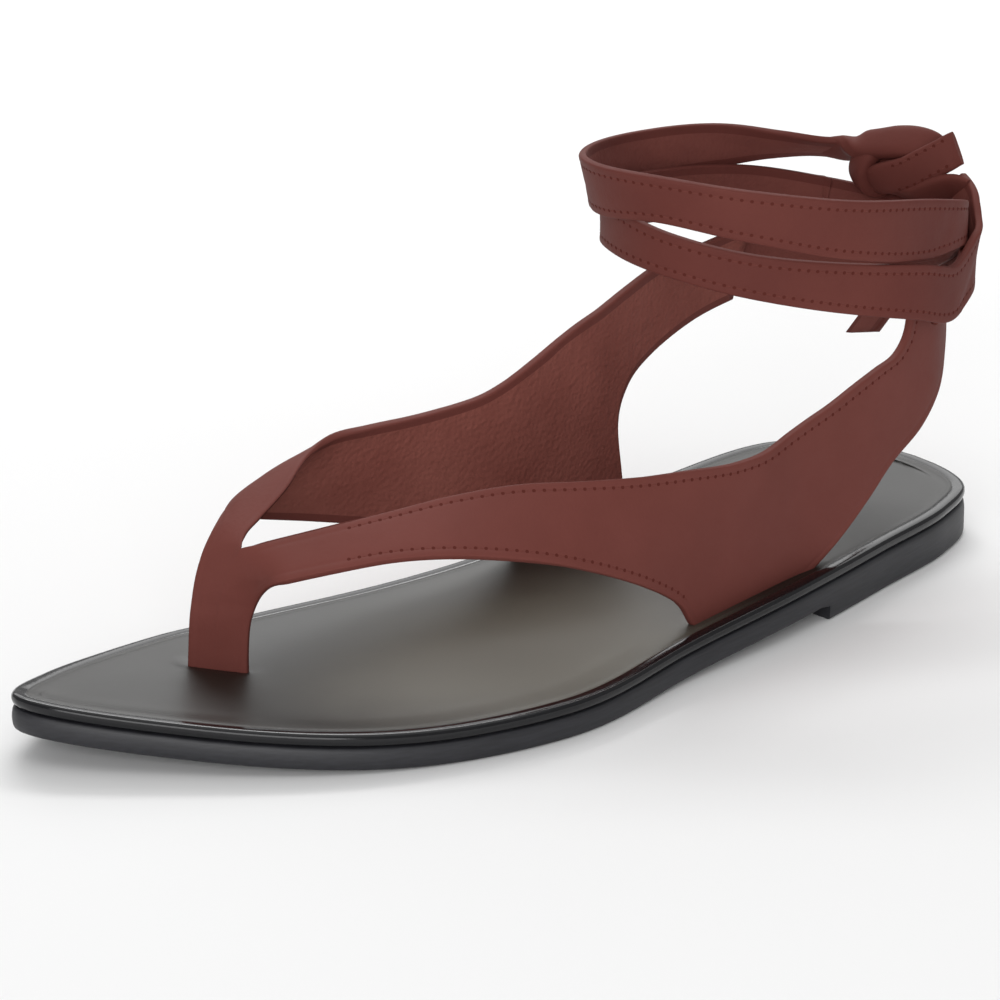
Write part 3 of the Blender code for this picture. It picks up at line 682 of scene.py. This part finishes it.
# Ribs of the wings on the last: low along, low angle, top along, top angle
OUTER_IN_SOLE = -1.0
INNER_IN_SOLE = 181.0
OUTER_WING = (
    (200.5, 60.0, 194.7, 74.7), (196.2, 57.6, 189.5, 71.4), (190.1, 55.1, 182.1, 67.5),
    (181.2, 51.3, 173.0, 63.9), (172.0, 46.2, 161.6, 59.0), (161.0, 37.9, 149.2, 51.3),
    (148.1, 27.4, 135.8, 40.7), (131.3, 14.2, 122.0, 30.5), (119.0, 5.6, 108.9, 22.0),
    (115.0, 2.6, 101.1, 17.9), (109.5, OUTER_IN_SOLE, 95.0, 15.5), (92.0, OUTER_IN_SOLE, 86.4, 13.6),
    (75.5, OUTER_IN_SOLE, 77.5, 13.2), (64.0, 0.9, 71.6, 13.4), (53.6, 3.6, 65.0, 13.7),
    (44.7, 6.1, 56.4, 14.5), (32.8, 8.2, 49.1, 15.2), (24.4, 10.6, 42.8, 15.7),
    (19.0, 13.6, 38.5, 17.1), (17.3, 17.1, 36.6, 19.4), (17.8, 21.1, 35.7, 22.9),
)
# The inner wing's ribs lean forward past the back corner of its foot, so that none of them cross there
INNER_WING = (
    (195.1, 96.5, 195.8, 82.2), (185.8, 134.0, 191.5, 83.5), (181.0, 142.8, 182.0, 86.0),
    (176.0, 149.0, 171.5, 92.0), (165.0, 158.0, 161.0, 112.0), (152.0, 166.0, 150.0, 129.0),
    (138.1, 171.9, 136.1, 141.8), (124.4, 175.8, 121.0, 151.4), (115.5, 178.6, 115.0, 154.1),
    (112.2, 179.5, 111.5, 155.3), (109.0, INNER_IN_SOLE, 109.0, 156.1), (92.0, INNER_IN_SOLE, 104.0, 157.8),
    (76.0, INNER_IN_SOLE, 99.0, 159.5), (77.0, 178.8, 93.0, 161.1), (78.6, 175.3, 86.0, 162.6),
    (75.1, 172.8, 76.0, 163.7), (66.8, 171.6, 63.5, 164.0), (51.8, 170.5, 49.0, 164.0),
    (38.5, 169.8, 34.0, 163.5),
)
WING_STEPS = 7
POST_ROWS = (len(POST) - 1) * WING_STEPS + 1
# Rows over the bend from post to wing that are faired, and how often
FAIRED_ROWS = (16, 52)
FAIRING = 14
# Thickness that the wall is skived to at the fork of the post
SKIVED = 0.45
# Soft folds of the upper: both ends on the last, depth and half width
UPPER_CREASES = (
    ((-17.3, 199.7, 36.6), (-27.5, 203.5, 31.0), 0.35, 1.5),
    ((-15.0, 200.5, 24.0), (-27.0, 205.5, 22.0), 0.22, 1.6),
    ((-10.0, 199.5, 30.5), (-18.0, 201.5, 26.0), 0.20, 1.4),
)
print("ribs:", len(OUTER_WING), "outer and", len(INNER_WING), "inner")

# %% Upper grid


def wing_grid(wing, post_side):
    """Grid of one half of the upper: up the post beside its middle line, then over the last."""
    shares = np.linspace(0.0, 1.0, STRIP_SAMPLES)[:, None]
    rows = []
    for middle, *sides in np.array(POST):
        low = sides[0] if post_side > 0 else sides[1]
        rows.append(low + shares * (middle - low))
    for low_along, low_angle, top_along, top_angle in wing:
        along = low_along + shares[:, 0] * (top_along - low_along)
        angle = low_angle + shares[:, 0] * (top_angle - low_angle)
        rows.append(last_point(along, angle))
    flat = curve_through(np.reshape(rows, (len(rows), -1)), WING_STEPS)
    grid = flat.reshape(len(flat), STRIP_SAMPLES, 3)
    post_line = curve_through([middle for middle, _, _ in POST], WING_STEPS)
    crotch_on = np.array(rows)[len(POST) - 1:, -1]
    top_line = np.vstack([post_line, curve_through(crotch_on, WING_STEPS)[1:]])
    grid += (top_line - grid[:, -1])[:, None] * shares ** 2
    bend = slice(FAIRED_ROWS[0], FAIRED_ROWS[1])
    for _ in range(FAIRING):
        pull = grid[FAIRED_ROWS[0] - 1:FAIRED_ROWS[1] - 1] + grid[FAIRED_ROWS[0] + 1:FAIRED_ROWS[1] + 1]
        grid[bend] += (0.5 * pull - grid[bend]) * 0.5 * (1.0 - shares ** 2)
    grid[..., 2] = np.maximum(grid[..., 2], ground(grid[..., 1]) + OUTSOLE + GAP)
    return place(grid)


# %% Upper skin
# Reach of the seam and of the skiving across the strip, and rows before and after the fork that they take
SEAM_REACH = 2.5
ROLL_ROWS = 6.0
SKIVE_BEFORE = 14.0
SKIVE_AFTER = 20.0
halves = []
for wing, post_side in ((OUTER_WING, 1.0), (INNER_WING, -1.0)):
    points, from_low, from_top = even_columns(wing_grid(wing, post_side))
    halves.append([points, grid_normals(points, post_side), from_low, from_top])
seam = unit(halves[0][1][:POST_ROWS, -1] + halves[1][1][:POST_ROWS, -1])
upper_points, upper_faces, upper_lined, wing_faces = [], [], [], []
start = 0
for points, normals, from_low, from_top in halves:
    near_seam = np.exp(-(from_top[:POST_ROWS] / SEAM_REACH) ** 2)[..., None]
    normals[:POST_ROWS] = unit(normals[:POST_ROWS] * (1.0 - near_seam) + seam[:, None] * near_seam)
    points = creased(points, normals, UPPER_CREASES)
    past_fork = np.arange(len(points)) - POST_ROWS + 1
    rolled = smooth_step(past_fork / ROLL_ROWS)
    skived = smooth_step(1.0 + past_fork / SKIVE_BEFORE) * smooth_step(2.0 - past_fork / SKIVE_AFTER)
    wall = WALL - (WALL - SKIVED) * skived[:, None] * np.exp(-(from_top / SEAM_REACH) ** 2)
    face, back = strip_faces(points, normals, from_low, from_top, 0.0, -wall, rolled)
    half_points, half_faces, half_lined = strip_mesh(face, back, POST_ROWS - 1, start)
    upper_points.append(half_points)
    upper_faces += half_faces
    upper_lined += half_lined
    wing_faces.append((face, normals))
    start += len(half_points)
add_piece("upper_skin", np.vstack(upper_points), upper_faces, (hide, lining), upper_lined,
          ("upper",))

# %% [markdown]
# ## Ankle ties
# Both ties are the same kind of strip, wound on an oval column where the ankle would be. Each row of a
# table gives the turn round the ankle, how far the strip stands off, its height, its width and how its
# top leans. A curve object with a bevel could be wound too; a table was chosen, because the strip also
# leans and narrows. The outer tie's last rise is wide, because it spreads there over the strips under it.

# %% Tie tables
INNER_TIE = (
    (254.0, -3.1, 61.5, 13.0, 0.0), (238.0, -1.0, 62.0, 13.0, 0.0), (215.0, 0.0, 63.0, 13.0, 0.0),
    (185.0, 0.0, 66.0, 13.0, 0.0), (160.0, -0.8, 71.5, 12.6, 0.0), (135.0, 3.2, 80.5, 10.2, 0.0),
    (105.0, 1.6, 85.5, 14.0, 0.0), (75.0, 3.0, 91.2, 13.6, 3.0), (45.0, 3.3, 96.9, 12.2, 8.0),
    (15.0, 3.0, 99.9, 11.6, 13.0), (-15.0, 2.6, 97.8, 13.0, 14.0), (-45.0, 2.4, 94.8, 12.5, 10.0),
    (-80.0, 2.8, 91.2, 12.0, 5.0), (-105.0, 2.5, 89.5, 11.0, 0.0), (-128.0, 2.5, 87.8, 8.5, -30.0),
    (-142.0, 3.0, 86.8, 7.5, -45.0), (-150.5, 3.0, 86.4, 7.0, -35.0),
)
OUTER_TIE = (
    (118.0, -0.3, 65.3, 11.5, 0.0), (132.0, 2.4, 65.8, 11.5, 0.0), (150.0, 3.0, 67.6, 12.0, 0.0),
    (180.0, 3.0, 69.5, 12.5, 0.0), (215.0, 2.5, 73.0, 12.5, 0.0), (245.0, 0.8, 78.0, 12.5, 0.0),
    (275.0, 0.0, 81.5, 12.5, 0.0), (305.0, -0.5, 85.0, 12.0, 0.0), (340.0, -1.5, 87.8, 12.0, 3.0),
    (375.0, -1.0, 86.0, 10.4, 5.0), (405.0, 0.0, 82.1, 10.4, 5.0), (435.0, 0.8, 77.0, 11.6, 0.0),
    (460.0, 3.2, 72.2, 12.8, 0.0), (477.0, 4.0, 68.0, 13.0, 0.0), (487.0, 4.6, 69.3, 12.5, 0.0),
    (497.0, 5.4, 71.8, 14.4, 5.0), (505.0, 5.0, 75.4, 12.6, 10.0), (513.0, 4.8, 79.4, 11.2, 12.0),
    (522.0, 4.5, 82.0, 9.6, 8.0),
)
TIE_STEPS = 12
SEAM_TURN = 216.0
SEAM_ROWS = (-1.2, -0.7, -0.4, -0.2, 0.0, 0.2, 0.4, 0.7, 1.2)
PER_DEGREE = math.radians((ANKLE_HALF_WIDTH + ANKLE_HALF_DEPTH) / 2.0)
print("tie rows:", len(INNER_TIE), "inner and", len(OUTER_TIE), "outer")

# %% Tie helpers


def tie_rows(table, seam_turn=None):
    """Fine rows of a tie, closer together where two lengths of it are seamed end to end."""
    rows = np.array(table)
    rows[:, 0] *= PER_DEGREE
    dense = curve_through(rows, TIE_STEPS)
    if seam_turn is not None:
        order = np.arange(len(dense))
        at_seam = np.interp(seam_turn * PER_DEGREE, dense[:, 0], order)
        step = dense[int(at_seam) + 1, 0] - dense[int(at_seam), 0]
        order = np.sort(np.concatenate([order, at_seam + np.array(SEAM_ROWS) / step]))
        dense = np.stack([np.interp(order, np.arange(len(dense)), column) for column in dense.T], -1)
    return dense


def tie_grid(dense):
    """Middle sheet of a tie, across its width, and the way out from the ankle."""
    path = ankle_point(dense[:, 0] / PER_DEGREE, dense[:, 1], dense[:, 2])
    forward = unit(np.gradient(path, axis=0))
    upward = unit(np.array([0.0, 0.0, 1.0]) - forward * forward[:, 2:])
    outward = np.cross(forward, upward)
    away = (path - (0.0, ANKLE_ALONG, 0.0))[:, :2]
    outward *= np.sign(np.sum(outward[:, :2] * away, axis=1))[:, None]
    lean = np.radians(dense[:, 4:])
    sideways = upward * np.cos(lean) + outward * np.sin(lean)
    shares = np.linspace(-0.5, 0.5, STRIP_SAMPLES)
    grid = place(np.stack([path + sideways * dense[:, 3:4] * share for share in shares], 1))
    return grid, (outward * (1.0, -1.0, 1.0))[:, None]


def tie_spot(turn, reach, up):
    """One end of a crease, given as a tie's rows are."""
    return tuple(ankle_point(np.float64(turn), reach, up))


# %% Ties
# Soft folds and the seam: both ends, depth and half width
INNER_CREASES = (
    (tie_spot(-62.0, 2.6, 97.0), tie_spot(-92.0, 2.6, 87.0), -0.30, 1.5),
    (tie_spot(-75.0, 2.6, 96.0), tie_spot(-104.0, 2.6, 87.0), -0.26, 1.3),
    (tie_spot(-90.0, 2.6, 95.0), tie_spot(-124.0, 2.6, 87.0), -0.30, 1.6),
    (tie_spot(-28.0, 2.6, 90.0), tie_spot(-40.0, 2.6, 101.0), 0.30, 2.0),
    (tie_spot(112.0, 1.0, 79.0), tie_spot(122.0, 0.8, 90.0), 0.35, 2.2),
)
OUTER_CREASES = (
    (tie_spot(SEAM_TURN, 2.5, 60.0), tie_spot(SEAM_TURN, 2.5, 86.0), -0.40, 0.35),
    (tie_spot(318.0, -0.6, 81.0), tie_spot(328.0, -0.8, 94.0), 0.30, 2.0),
    (tie_spot(482.0, 4.2, 63.0), tie_spot(496.0, 4.8, 71.0), 0.40, 2.0),
    (tie_spot(500.0, 5.0, 73.0), tie_spot(508.0, 5.0, 84.0), 0.30, 1.8),
)
tie_faces = []
for name, rows, creases, node in (
        ("inner_tie_strip", tie_rows(INNER_TIE), INNER_CREASES, "ankle_tie_inner"),
        ("outer_tie_strip", tie_rows(OUTER_TIE, SEAM_TURN), OUTER_CREASES, "ankle_tie_outer")):
    points, faces, lined, face, normals = ribbon(*tie_grid(rows), creases)
    add_piece(name, points, faces, (tie_hide, tie_lining), lined, (node,))
    tie_faces.append((face, normals))
    print(name, len(rows), "rows")

# %% [markdown]
# ## Sewing
# A lockstitch shows as a short length of thread between two needle holes. One stitch and one hole are
# small meshes; they are copied along the trough beside each edge, turned to the leather's surface, and
# joined. They could be instances on a curve; joined copies were chosen, because the sewing is then one
# plain mesh.

# %% Stitch shapes
STITCH_PITCH = 2.3
STITCH_HALF = 0.33
STITCH_POINTS = 5
THREAD_HALF = 0.20
THREAD_RISE = 0.14
THREAD_SUNK = 0.04
HOLE_RADIUS = 0.43
HOLE_SIDES = 8
HOLE_FLOOR = 0.02
HOLE_LIP = 0.05


def stitch_shape():
    """Thread of one stitch as a low dome: along, aside and up."""
    shares = np.linspace(-1.0, 1.0, STITCH_POINTS)
    points = [(run * STITCH_HALF * STITCH_PITCH, side * THREAD_HALF * math.sqrt(1.05 - run * run),
               THREAD_RISE * (1.0 - side * side) * (1.0 - 0.8 * run * run) - THREAD_SUNK)
              for run in shares for side in shares]
    number = np.arange(STITCH_POINTS ** 2).reshape(STITCH_POINTS, STITCH_POINTS)
    quads = np.stack([number[:-1, :-1], number[:-1, 1:], number[1:, 1:], number[1:, :-1]], -1)
    return np.array(points), quads.reshape(-1, 4)


def hole_shape():
    """Needle hole as a shallow dish, which takes the finish with painted shade."""
    turns = np.linspace(0.0, 2.0 * math.pi, HOLE_SIDES, endpoint=False)
    points = [(0.0, 0.0, HOLE_FLOOR)]
    points += [(HOLE_RADIUS * math.cos(turn), HOLE_RADIUS * math.sin(turn), HOLE_LIP) for turn in turns]
    wedges = [(0, 1 + here, 1 + (here + 1) % HOLE_SIDES) for here in range(HOLE_SIDES)]
    return np.array(points), np.array(wedges)


def sew(line, normals, shape, shift):
    """Copies of a shape along a line on the leather, a pitch apart."""
    run = np.concatenate([[0.0], np.cumsum(np.linalg.norm(np.diff(line, axis=0), axis=1))])
    spots = np.arange(STITCH_PITCH * (0.5 + shift), run[-1] - STITCH_PITCH, STITCH_PITCH)
    middle = np.stack([np.interp(spots, run, line[:, axis]) for axis in range(3)], -1)
    up = unit(np.stack([np.interp(spots, run, normals[:, axis]) for axis in range(3)], -1))
    ahead = np.stack([np.interp(spots + 0.5, run, line[:, axis]) for axis in range(3)], -1) - middle
    ahead = unit(ahead - up * np.sum(ahead * up, axis=1, keepdims=True))
    aside = np.cross(up, ahead)
    points, quads = shape
    spread = (points[None, :, 0, None] * ahead[:, None] + points[None, :, 1, None] * aside[:, None]
              + points[None, :, 2, None] * up[:, None])
    copies = (middle[:, None] + spread).reshape(-1, 3)
    first = np.arange(len(spots)) * len(points)
    numbers = (quads[None] + first[:, None, None]).reshape(-1, quads.shape[1])
    return copies, numbers


# %% Stitches
# Sewn strip, and the first and last of its rows that are sewn at the low edge and at the top edge
SEWN = (
    ("outer_wing", wing_faces[0], (49, 101), (49, 172)),
    ("inner_wing", wing_faces[1], (63, 101), (63, 158)),
    ("inner_tie", tie_faces[0], (2, 186), (2, 186)),
    ("outer_tie", tie_faces[1], (2, 222), (2, 222)),
)
sewn_lines = list(knot_sewing)
for strip, (face, normals), low_rows, top_rows in SEWN:
    for rows, column in ((low_rows, STITCH_COLUMN), (top_rows, face.shape[1] - 1 - STITCH_COLUMN)):
        sewn_lines.append((face[rows[0]:rows[1], column], normals[rows[0]:rows[1], column]))
    print(strip, "is sewn along rows", low_rows, "and", top_rows)
sewn_points, sewn_faces, sewn_finish = [], [], []
start = 0
for line, normals in sewn_lines:
    for shape, shift, finish in ((stitch_shape(), 0.5, 0), (hole_shape(), 0.0, 1)):
        points, quads = sew(line, normals, shape, shift)
        sewn_points.append(points)
        sewn_faces += (quads + start).tolist()
        sewn_finish += [finish] * len(quads)
        start += len(points)
add_piece("stitches", np.vstack(sewn_points), sewn_faces, (thread, needle_hole), sewn_finish)

# %% [markdown]
# ## Sole
# A footbed with a rolled edge lies on a firm outsole with a low heel lift. Each is a side profile swept
# round the sole's outline and closed above and below by rows ruled across the foot. A bevelled outline
# could give the edge; a swept profile was chosen, because the rim's roll and crease can be drawn point by
# point.

# %% Sole outline
# Anticlockwise from the back of the heel: across (of BALL_WIDTH), along (of LENGTH)
OUTLINE = (
    (-0.014, 0.001), (0.204, 0.022), (0.297, 0.082), (0.357, 0.184), (0.429, 0.325), (0.456, 0.471),
    (0.505, 0.627), (0.368, 0.784), (0.055, 0.916), (-0.297, 1.000), (-0.423, 0.933), (-0.495, 0.788),
    (-0.456, 0.702), (-0.390, 0.584), (-0.319, 0.408), (-0.368, 0.224), (-0.357, 0.075), (-0.209, 0.018),
)
OUTLINE_STEPS = 100
STATIONS = 250
INSET_STEP = 0.25
# An inset of more steps than this keeps its points spread, and by how much at each step
SPREAD_FROM = 4
SPREAD = 0.6


def sole_ring():
    """Outline points in pairs at the same station: up the outer side to the toe, down the inner side."""
    knots = np.array(OUTLINE) * (BALL_WIDTH, LENGTH)
    dense = curve_through(np.vstack([knots[-3:], knots, knots[:4]]), OUTLINE_STEPS)
    dense = dense[3 * OUTLINE_STEPS:(3 + len(knots)) * OUTLINE_STEPS]
    dense = np.roll(dense, -int(np.argmin(dense[:, 1])), axis=0)
    toe = int(np.argmax(dense[:, 1]))
    outer = dense[:toe + 1]
    inner = np.vstack([dense[toe:], dense[:1]])[::-1]
    even = np.linspace(0.0, 1.0, STATIONS + 2)
    share = 0.5 * even + 0.25 * (1.0 - np.cos(math.pi * even))
    along = dense[0, 1] + share * (dense[toe, 1] - dense[0, 1])
    outer_side = np.stack([np.interp(along, outer[:, 1], outer[:, 0]), along], -1)
    inner_side = np.stack([np.interp(along, inner[:, 1], inner[:, 0]), along], -1)
    return outer_side, inner_side


def inset_ring(ring, inset):
    """The ring moved inwards in small steps; its points keep their spacing, so no corner folds over."""
    moved = ring.copy()
    steps = max(1, math.ceil(np.max(inset) / INSET_STEP))
    for _ in range(steps):
        tangent = unit(np.roll(moved, -1, axis=0) - np.roll(moved, 1, axis=0))
        inwards = np.stack([-tangent[:, 1], tangent[:, 0]], -1)
        moved = moved + (np.asarray(inset) / steps)[..., None] * inwards
        if steps > SPREAD_FROM:
            pull = 0.5 * (np.roll(moved, -1, axis=0) + np.roll(moved, 1, axis=0)) - moved
            moved = moved + SPREAD * tangent * np.sum(pull * tangent, axis=1, keepdims=True)
    return moved


outer_side, inner_side = sole_ring()
ring = np.vstack([outer_side, inner_side[-2:0:-1]])
breast = HEEL_BREAST * LENGTH
print("sole outline of", len(ring), "points")

# %% Sole layers


def sole_layer(ring, profile, base, columns, dish, name, finishes, node, rim_levels=0, shape=None):
    """Closed sole layer: its side profile swept round the ring, with ruled top and bottom.

    The first levels of the side take the second finish."""
    loops = []
    for inset, height in profile:
        flat = inset_ring(ring, np.broadcast_to(inset, len(ring)))
        loops.append(np.column_stack([flat, ground(flat[:, 1]) + base + height]))
    count = len(ring)
    points = list(np.vstack(loops))
    faces = side_faces(len(loops), count)
    finish_of = np.arange(len(faces)) < rim_levels * count
    for level, spread, hollow in ((0, 1, 0.0), (len(loops) - 1, columns, dish)):
        first = level * count
        rows = [[first]]
        for station in range(1, count // 2):
            inner, outer = first + count - station, first + station
            row = [inner]
            for column in range(1, spread):
                share = column / spread
                point = points[inner] + share * (points[outer] - points[inner])
                point = point - np.array([0.0, 0.0, hollow * (1.0 - (2.0 * share - 1.0) ** 4)])
                row.append(len(points))
                points.append(point)
            rows.append(row + [outer])
        rows.append([first + count // 2])
        for row, following in zip(rows, rows[1:]):
            for column in range(spread):
                near = [row[min(column + side, len(row) - 1)] for side in (0, 1)]
                far = [following[min(column + side, len(following) - 1)] for side in (1, 0)]
                faces.append(list(dict.fromkeys(near + far)))
    points = np.array(points)
    if shape is not None:
        points[:, 2] -= shape(points)
    finish_of = np.concatenate([finish_of, np.zeros(len(faces) - len(finish_of))])
    return add_piece(name, place(points), faces, finishes, finish_of, (node,))


# %% [markdown]
# **Outsole and footbed.** The outsole is leather board, a little rounded at the side and bevelled below,
# in front of the heel. The footbed's leather is rolled over its edge, creased inside the roll, pulled in
# round the straps that go down through it, and marked by the press along the outer side. These could be
# bump alone; they are shaped, because they also show in the outline and in the light along the rim.

# %% Footbed tables
FOOTBED_SIDE = (
    (0.8, 0.0), (0.45, 0.3), (0.2, 0.75), (0.05, 1.2), (0.0, 1.7), (0.1, 2.2), (0.4, 2.6), (0.95, 2.84),
    (1.7, 2.9), (2.5, 2.86), (3.1, 2.74), (3.5, 2.58), (3.8, 2.56), (4.5, 2.66), (6.0, 2.64),
)
SIDE_STEPS = 3
RIM_LEVELS = 10 * SIDE_STEPS
# Soft line that the press leaves along the outer side: distance from the edge, depth and half width
PRESS_LINE = (10.6, 0.10, 2.2)
# Feet of the straps in the footbed: both ends of each as across and along, half its thickness
STRAP_FEET = (
    ((32.9, 111.5), (31.9, 88.0), 1.0), ((31.9, 88.0), (31.2, 71.5), 1.0),
    ((-24.1, 111.5), (-23.7, 92.0), 1.0), ((-23.7, 92.0), (-25.2, 77.0), 1.0),
    ((-16.6, 198.6), (-28.0, 206.0), 1.0),
)
SLOT_PULL = 0.55
PULL_REACH = 1.6
# Where the press line starts along the foot, and the height in the footbed at which its top starts
PRESS_FROM, PRESS_OVER = 115.0, 25.0
TOP_FROM, TOP_OVER = 1.5, 1.0
FOOTBED_COLUMNS = 40
FOOTBED_DISH = 0.4


def slot_dip(points):
    """How far the footbed is pulled down beside the straps that go through it, and along the press line."""
    dip = np.zeros(len(points))
    for first, second, half in STRAP_FEET:
        first, along = np.array(first), np.array(second) - first
        share = np.clip((points[:, :2] - first) @ along / (along @ along), 0.0, 1.0)
        away = np.linalg.norm(points[:, :2] - first - share[:, None] * along, axis=1)
        dip = np.maximum(dip, SLOT_PULL * np.exp(-(np.maximum(away - half, 0.0) / PULL_REACH) ** 2))
    edge = outer_side[::4]
    inside = np.min(np.linalg.norm(points[:, None, :2] - edge[None], axis=2), axis=1)
    line, depth, half = PRESS_LINE
    pressed = smooth_step((points[:, 1] - PRESS_FROM) / PRESS_OVER)
    dip += depth * np.exp(-((inside - line) / half) ** 2) * pressed
    return dip * smooth_step((points[:, 2] - ground(points[:, 1]) - OUTSOLE - TOP_FROM) / TOP_OVER)


# %% Outsole and footbed
BEVEL_OVER = 3.0
SOLE_CORNER = math.radians(50.0)
bevel = smooth_step((ring[:, 1] - breast) / BEVEL_OVER)
outsole_profile = [
    (bevel * 1.1, 0.0), (bevel * 0.55, 0.25), (bevel * 0.25, 0.7), (bevel * 0.08, 1.5), (0.0, 2.4),
    (0.06, 3.4), (0.2, 4.3), (0.4, 4.85), (0.8, OUTSOLE),
]
outsole = sole_layer(ring, outsole_profile, 0.0, 1, 0.0, "outsole_board", (sole_edge,),
                     "outsole")
outsole.data.set_sharp_from_angle(angle=SOLE_CORNER)
sole_layer(ring, curve_through(FOOTBED_SIDE, SIDE_STEPS), OUTSOLE + GAP, FOOTBED_COLUMNS, FOOTBED_DISH,
           "footbed_leather", (footbed, rim), "insole", RIM_LEVELS, slot_dip)

# %% [markdown]
# **Heel lift.** A low flat piece of the same board under the back of the outsole, cut straight across at
# the breast. It could be cut from the outsole with a boolean; its own loops were chosen, because they
# follow the sole's outline and leave a clean front.

# %% Heel lift
BREAST_CLEAR = 1.5
BREAST_SLOPE = 0.3
HEEL_SIDE = ((1.0, 0.0), (0.45, 0.25), (0.12, 0.7), (0.0, 1.4), (0.0, HEEL_LIFT - 0.01))
heel_loops = []
for inset, height in HEEL_SIDE:
    flat = inset_ring(ring, np.full(len(ring), inset))
    behind = ring[:, 1] < breast - BREAST_CLEAR
    half = len(flat) // 2
    outer_arc = flat[:half + 1][behind[:half + 1]]
    inner_arc = flat[half + 1:][behind[half + 1:]]
    front = breast - BREAST_SLOPE * inset
    ends = [(np.interp(front, side[:, 1], side[:, 0]) + way * inset, front)
            for side, way in ((outer_side, -1.0), (inner_side, 1.0))]
    loop = np.vstack([inner_arc, outer_arc, ends])
    heel_loops.append(np.column_stack([loop, np.full(len(loop), height)]))
count = len(heel_loops[0])
heel_faces = side_faces(len(heel_loops), count)
heel_faces.append(list(range(count)))
heel_faces.append(list(range((len(heel_loops) - 1) * count, len(heel_loops) * count)))
heel = add_piece("heel_lift", place(np.vstack(heel_loops)), heel_faces, (sole_edge,),
                 np.zeros(len(heel_faces)), ("heel",))
heel.data.set_sharp_from_angle(angle=SOLE_CORNER)

# %% [markdown]
# ## Studio
# The photograph has an even, very pale ground and soft light from all round. A large soft box behind the
# shoe lies in the direction that the footbed mirrors to the camera, and gives it its broad satin sheen. A
# narrow strip beside it draws the bright line on the waxed rim. A picture of a studio could light the
# shoe too; soft boxes were chosen, because each can be moved and dimmed for the one finish that it
# serves.

# %% Floor and light
FLOOR_HALF = 6.0
WORLD_STRENGTH = 0.37
floor_mesh = bpy.data.meshes.new("studio_floor")
corners = [(side * FLOOR_HALF, end * FLOOR_HALF, 0.0) for side, end in ((-1, -1), (1, -1), (1, 1), (-1, 1))]
floor_mesh.from_pydata(corners, [], [(0, 1, 2, 3)])
floor = bpy.data.objects.new("studio_floor", floor_mesh)
scene.collection.objects.link(floor)
paper, tree, shader, _ = new_finish("pale_background_paper")
set_inputs(tree, shader, {"Base Color": linear("#F1F1F1"), "Roughness": 0.9, "Specular IOR Level": 0.0})
floor_mesh.materials.append(paper)

world = bpy.data.worlds.new("studio_light")
scene.world = world
world.use_nodes = True
set_inputs(world.node_tree, world.node_tree.nodes["Background"],
           {"Color": (1.0, 1.0, 1.0, 1.0), "Strength": WORLD_STRENGTH})
# Name, place, aim, size across and up (m), power (W)
SOFT_BOXES = (
    ("top_box", (0.1, -0.1, 2.4), (0.1, -0.1, 0.0), (2.8, 2.8), 15.0),
    ("front_box", (1.15, -1.50, 0.55), (0.0, 0.0, 0.04), (1.6, 1.3), 23.5),
    ("sheen_box", (-1.44, 1.39, 1.66), (0.0, -0.03, 0.02), (2.5, 2.3), 29.0),
    ("rim_strip", (-0.62, 0.60, 1.00), (0.0, -0.05, 0.01), (0.9, 0.2), 5.0),
)
for name, stands, aims, size, power in SOFT_BOXES:
    light = bpy.data.lights.new(name, "AREA")
    light.shape = "RECTANGLE"
    light.size, light.size_y = size
    light.energy = power
    box = bpy.data.objects.new(name, light)
    box.location = stands
    towards = np.array(aims) - np.array(stands)
    flat_run = math.hypot(towards[0], towards[1])
    box.rotation_euler = (math.atan2(flat_run, -towards[2]), 0.0, math.atan2(-towards[0], towards[1]))
    scene.collection.objects.link(box)
print("soft boxes:", [name for name, *_ in SOFT_BOXES])
